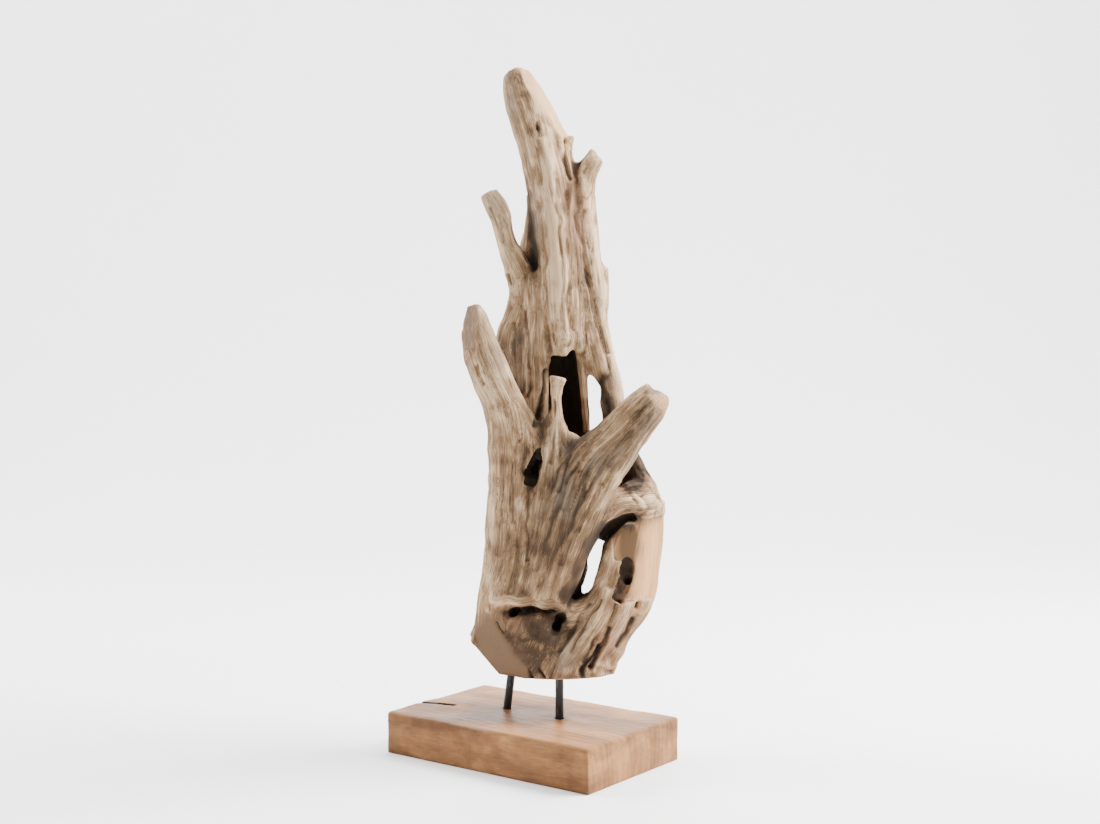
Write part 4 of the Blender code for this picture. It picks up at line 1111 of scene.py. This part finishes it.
class TEAK_OT_branch(bpy.types.Operator):
    """Grow the weathered branch from its strands and finish it"""
    bl_idname = "teak.branch"
    bl_label = "Teak branch"

    def execute(self, context):
        settings = context.scene.teak_branch
        body, lines = grow_branch(settings)
        places, normals = get_mesh(body.data)
        strands = flow(places / MM, lines)
        upright_grain(places, *strands[1:3])
        height = relief(places, normals, strands, settings.relief)
        put_mesh(body.data, places + normals * height[:, None] * MM)
        count = sum(len(face.vertices) - 2 for face in body.data.polygons)
        if count > settings.triangles:
            modify(body, "DECIMATE", ratio=settings.triangles / count)
        low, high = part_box("teak_branch")
        body.data.transform(Matrix.Rotation(FRONT_TURN, 4, "Z"))
        places, _ = get_mesh(body.data)
        put_mesh(body.data, np.clip(places, np.array(low), np.array(high)))
        cut_pin_holes(body)
        places, normals = get_mesh(body.data)
        back = np.array(Matrix.Rotation(-FRONT_TURN, 3, "Z"))
        own, own_normals = places @ back.T, normals @ back.T
        numbers, coords = flow(own / MM, lines, 1)[1:3]
        upright_grain(own, numbers, coords)
        grain = coords[:, 0] + numbers[:, :1] * np.array([37.0, 23.0, 61.0])
        # Painted shade from grooves, from how shut in each point is, and from the drawn shade marks. The
        # drawn pale marks give bleach and painted highlight.
        groove, shut = hollows(body.data)
        spots, facing = drawn(own), toward_eye(own, own_normals)
        wavy, backs = jittered(spots, own, 5.0), own[:, 1] / MM
        stain_and_shade_marks = drawn_amount(STAINS_AND_SHADE, wavy, np.clip(facing + 0.4, 0, 1), backs)
        hollow = np.clip(groove * 0.6, -0.5, 0.7) + 1.1 * np.clip(shut, 0, 1) ** 1.3
        hollow += 1.3 * np.clip(stain_and_shade_marks - 0.6, 0, 1)
        put_attribute(body.data, "grain", grain)
        put_attribute(body.data, "hollow", hollow)
        put_attribute(body.data, "stained", np.clip(stain_and_shade_marks, 0, 0.9))
        put_attribute(body.data, "bleached", drawn_amount(BLEACH_AND_HIGHLIGHT, wavy, facing, backs))
        put_attribute(body.data, "sanded", flat_share(own))
        body.data.materials.clear()
        body.data.materials.append(weathered_teak(settings))
        select_only(body)
        bpy.ops.object.shade_smooth()
        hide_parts("teak_branch")
        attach(body, "root")
        return {"FINISHED"}


class TEAK_OT_plinth(bpy.types.Operator):
    """Refine the sawn plinth and finish it"""
    bl_idname = "teak.plinth"
    bl_label = "Plinth"

    def execute(self, context):
        settings = context.scene.teak_plinth
        bpy.ops.object.select_all(action="DESELECT")
        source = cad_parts["plinth"]
        block = bpy.data.objects.new("sawn_plinth", source.data.copy())
        context.scene.collection.objects.link(block)
        select_only(block)
        bpy.ops.object.mode_set(mode="EDIT")
        bpy.ops.mesh.select_all(action="SELECT")
        bpy.ops.mesh.remove_doubles(threshold=1e-6)
        bpy.ops.object.mode_set(mode="OBJECT")
        bpy.ops.object.select_all(action="DESELECT")
        bpy.ops.mesh.primitive_cube_add(size=1, location=SLOT_MIDDLE, rotation=(0, 0, SLOT_TURN))
        slot = bpy.context.object
        slot.scale = SLOT_SIZE
        modify(block, "REMESH", mode="VOXEL", voxel_size=settings.cell)
        cut_away(block, slot)
        modify(block, "REMESH", mode="VOXEL", voxel_size=settings.cell)
        modify(block, "SMOOTH", factor=0.5, iterations=2)
        places, normals = get_mesh(block.data)
        spots = places / MM
        marks = 0.16 * lumps(spots / (40, 5, 5), 20) + 0.10 * lumps(spots / (18, 2.4, 2.4), 21)
        wear = 0.35 * lumps(spots / 22, 22)
        rise = np.clip(places[:, 2] / 0.004, 0, 1)
        places = places + normals * ((marks + wear) * rise * MM)[:, None]
        low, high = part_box("plinth")
        put_mesh(block.data, np.clip(places, np.array(low), np.array(high)))
        # Painted shade: concavity, how shut in each point is, and the inside of the crack.
        groove, shut = hollows(block.data, 16, 0.02)
        crack = np.clip(2.2 - near_line(places[:, :2] / MM, CRACK) / 2.2, 0, 1)
        put_attribute(block.data, "hollow", np.clip(groove * 0.5, 0, 0.3) + np.clip(shut, 0, 1)
                      + 1.5 * crack * (places[:, 2] > 0.03))
        put_attribute(block.data, "top", np.clip(normals[:, 2] * 4 - 2.6, 0, 1))
        # Marks the face towards the front for its painted shade.
        put_attribute(block.data, "front", np.clip(-normals[:, 1] * 4 - 2.6, 0, 1))
        block.data.materials.clear()
        block.data.materials.append(sawn_teak(settings))
        select_only(block)
        bpy.ops.object.shade_smooth()
        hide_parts("plinth")
        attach(block, "root")
        return {"FINISHED"}


class TEAK_OT_pins(bpy.types.Operator):
    """Paint the two steel pins"""
    bl_idname = "teak.pins"
    bl_label = "Pins"

    def execute(self, context):
        steel = black_steel(context.scene.teak_pins)
        for name in ("pin_left", "pin_right"):
            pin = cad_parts[name]
            for slot in pin.material_slots:
                slot.material = steel
        return {"FINISHED"}


def curve_floor(mesh):
    """Curve the floor sheet up behind the object, and turn it to face the branch's front."""
    places, _ = get_mesh(mesh)
    run = np.maximum(places[:, 1] - FLOOR_RUN, 0)
    turned = np.minimum(run / FLOOR_BEND, math.pi / 2)
    rest = run - turned * FLOOR_BEND
    places[:, 1] = np.minimum(places[:, 1], FLOOR_RUN) + FLOOR_BEND * np.sin(turned)
    places[:, 2] = FLOOR_BEND * (1 - np.cos(turned)) + rest - FLOOR_DROP
    put_mesh(mesh, places)
    mesh.transform(Matrix.Rotation(FRONT_TURN, 4, "Z"))


class TEAK_OT_stage(bpy.types.Operator):
    """Set the floor, the soft lights and the camera"""
    bl_idname = "teak.stage"
    bl_label = "Stage"

    def execute(self, context):
        settings = context.scene.teak_stage
        bpy.ops.object.select_all(action="DESELECT")
        bpy.ops.mesh.primitive_grid_add(x_subdivisions=20, y_subdivisions=240, size=16)
        floor = bpy.context.object
        floor.name = "pale_floor"
        curve_floor(floor.data)
        bpy.ops.object.shade_smooth()
        floor.data.materials.append(white_floor(settings))
        turn = Matrix.Rotation(FRONT_TURN, 4, "Z")
        lights = (("key_light", (1.5, 0.0, 1.8), (0, 0, 0.7), 1.0, settings.key),
                  ("left_light", (-2.1, 0.35, 1.45), (0, 0, 0.6), 1.3, settings.fill),
                  ("front_light", (0.3, -1.1, 2.0), (0, 0, 0.7), 0.8, settings.front),
                  ("top_light", (0.2, 0.9, 2.6), (0, 0.6, 0), 1.6, settings.top),
                  ("backdrop_left", (-2.4, 0.9, 2.2), (-0.6, 3.2, 0.7), 1.2, settings.back),
                  ("backdrop_right", (2.4, 0.9, 2.2), (0.6, 3.2, 0.7), 1.2, settings.back))
        for name, place, aim, size, power in lights:
            aim = turn @ Vector(aim)
            place = turn @ Vector(place)
            bpy.ops.object.light_add(type="AREA", location=place)
            lamp = bpy.context.object
            lamp.name = name
            lamp.data.size = size
            lamp.data.energy = power
            lamp.rotation_euler = (aim - place).to_track_quat("-Z", "Y").to_euler()
        world = bpy.data.worlds.new("white_surroundings")
        world.use_nodes = True
        sky = world.node_tree.nodes["Background"]
        sky.inputs["Color"].default_value = (1.0, 1.0, 1.0, 1.0)
        sky.inputs["Strength"].default_value = settings.sky
        context.scene.world = world
        bpy.ops.object.camera_add(location=turn @ EYE,
                                  rotation=(math.pi / 2 - EYE_TILT, 0, FRONT_TURN))
        camera = bpy.context.object
        camera.name = "camera"
        camera.data.sensor_width = 36
        camera.data.lens = settings.lens
        bpy.context.scene.camera = camera
        return {"FINISHED"}


class TEAK_PT_panel(bpy.types.Panel):
    """The pieces of the branch on its plinth"""
    bl_idname = "TEAK_PT_panel"
    bl_label = "Teak branch"
    bl_space_type = "VIEW_3D"
    bl_region_type = "UI"
    bl_category = "Teak branch"

    def draw(self, context):
        scene = context.scene
        for settings, operator in ((scene.teak_branch, "teak.branch"), (scene.teak_plinth, "teak.plinth"),
                                   (scene.teak_pins, "teak.pins"), (scene.teak_stage, "teak.stage")):
            box = self.layout.box()
            box.operator(operator)
            for name in settings.bl_rna.properties.keys():
                if name not in ("rna_type", "name"):
                    box.prop(settings, name)


CLASSES = (BranchSettings, PlinthSettings, PinSettings, StageSettings, TEAK_OT_branch,
           TEAK_OT_plinth, TEAK_OT_pins, TEAK_OT_stage, TEAK_PT_panel)


def register():
    for kind in CLASSES:
        bpy.utils.register_class(kind)
    bpy.types.Scene.teak_branch = PointerProperty(type=BranchSettings)
    bpy.types.Scene.teak_plinth = PointerProperty(type=PlinthSettings)
    bpy.types.Scene.teak_pins = PointerProperty(type=PinSettings)
    bpy.types.Scene.teak_stage = PointerProperty(type=StageSettings)


def unregister():
    for name in ("teak_branch", "teak_plinth", "teak_pins", "teak_stage"):
        delattr(bpy.types.Scene, name)
    for kind in reversed(CLASSES):
        bpy.utils.unregister_class(kind)


def main():
    register()
    bpy.ops.teak.stage()
    bpy.ops.teak.branch()
    bpy.ops.teak.plinth()
    bpy.ops.teak.pins()


if __name__ == "__main__":
    main()
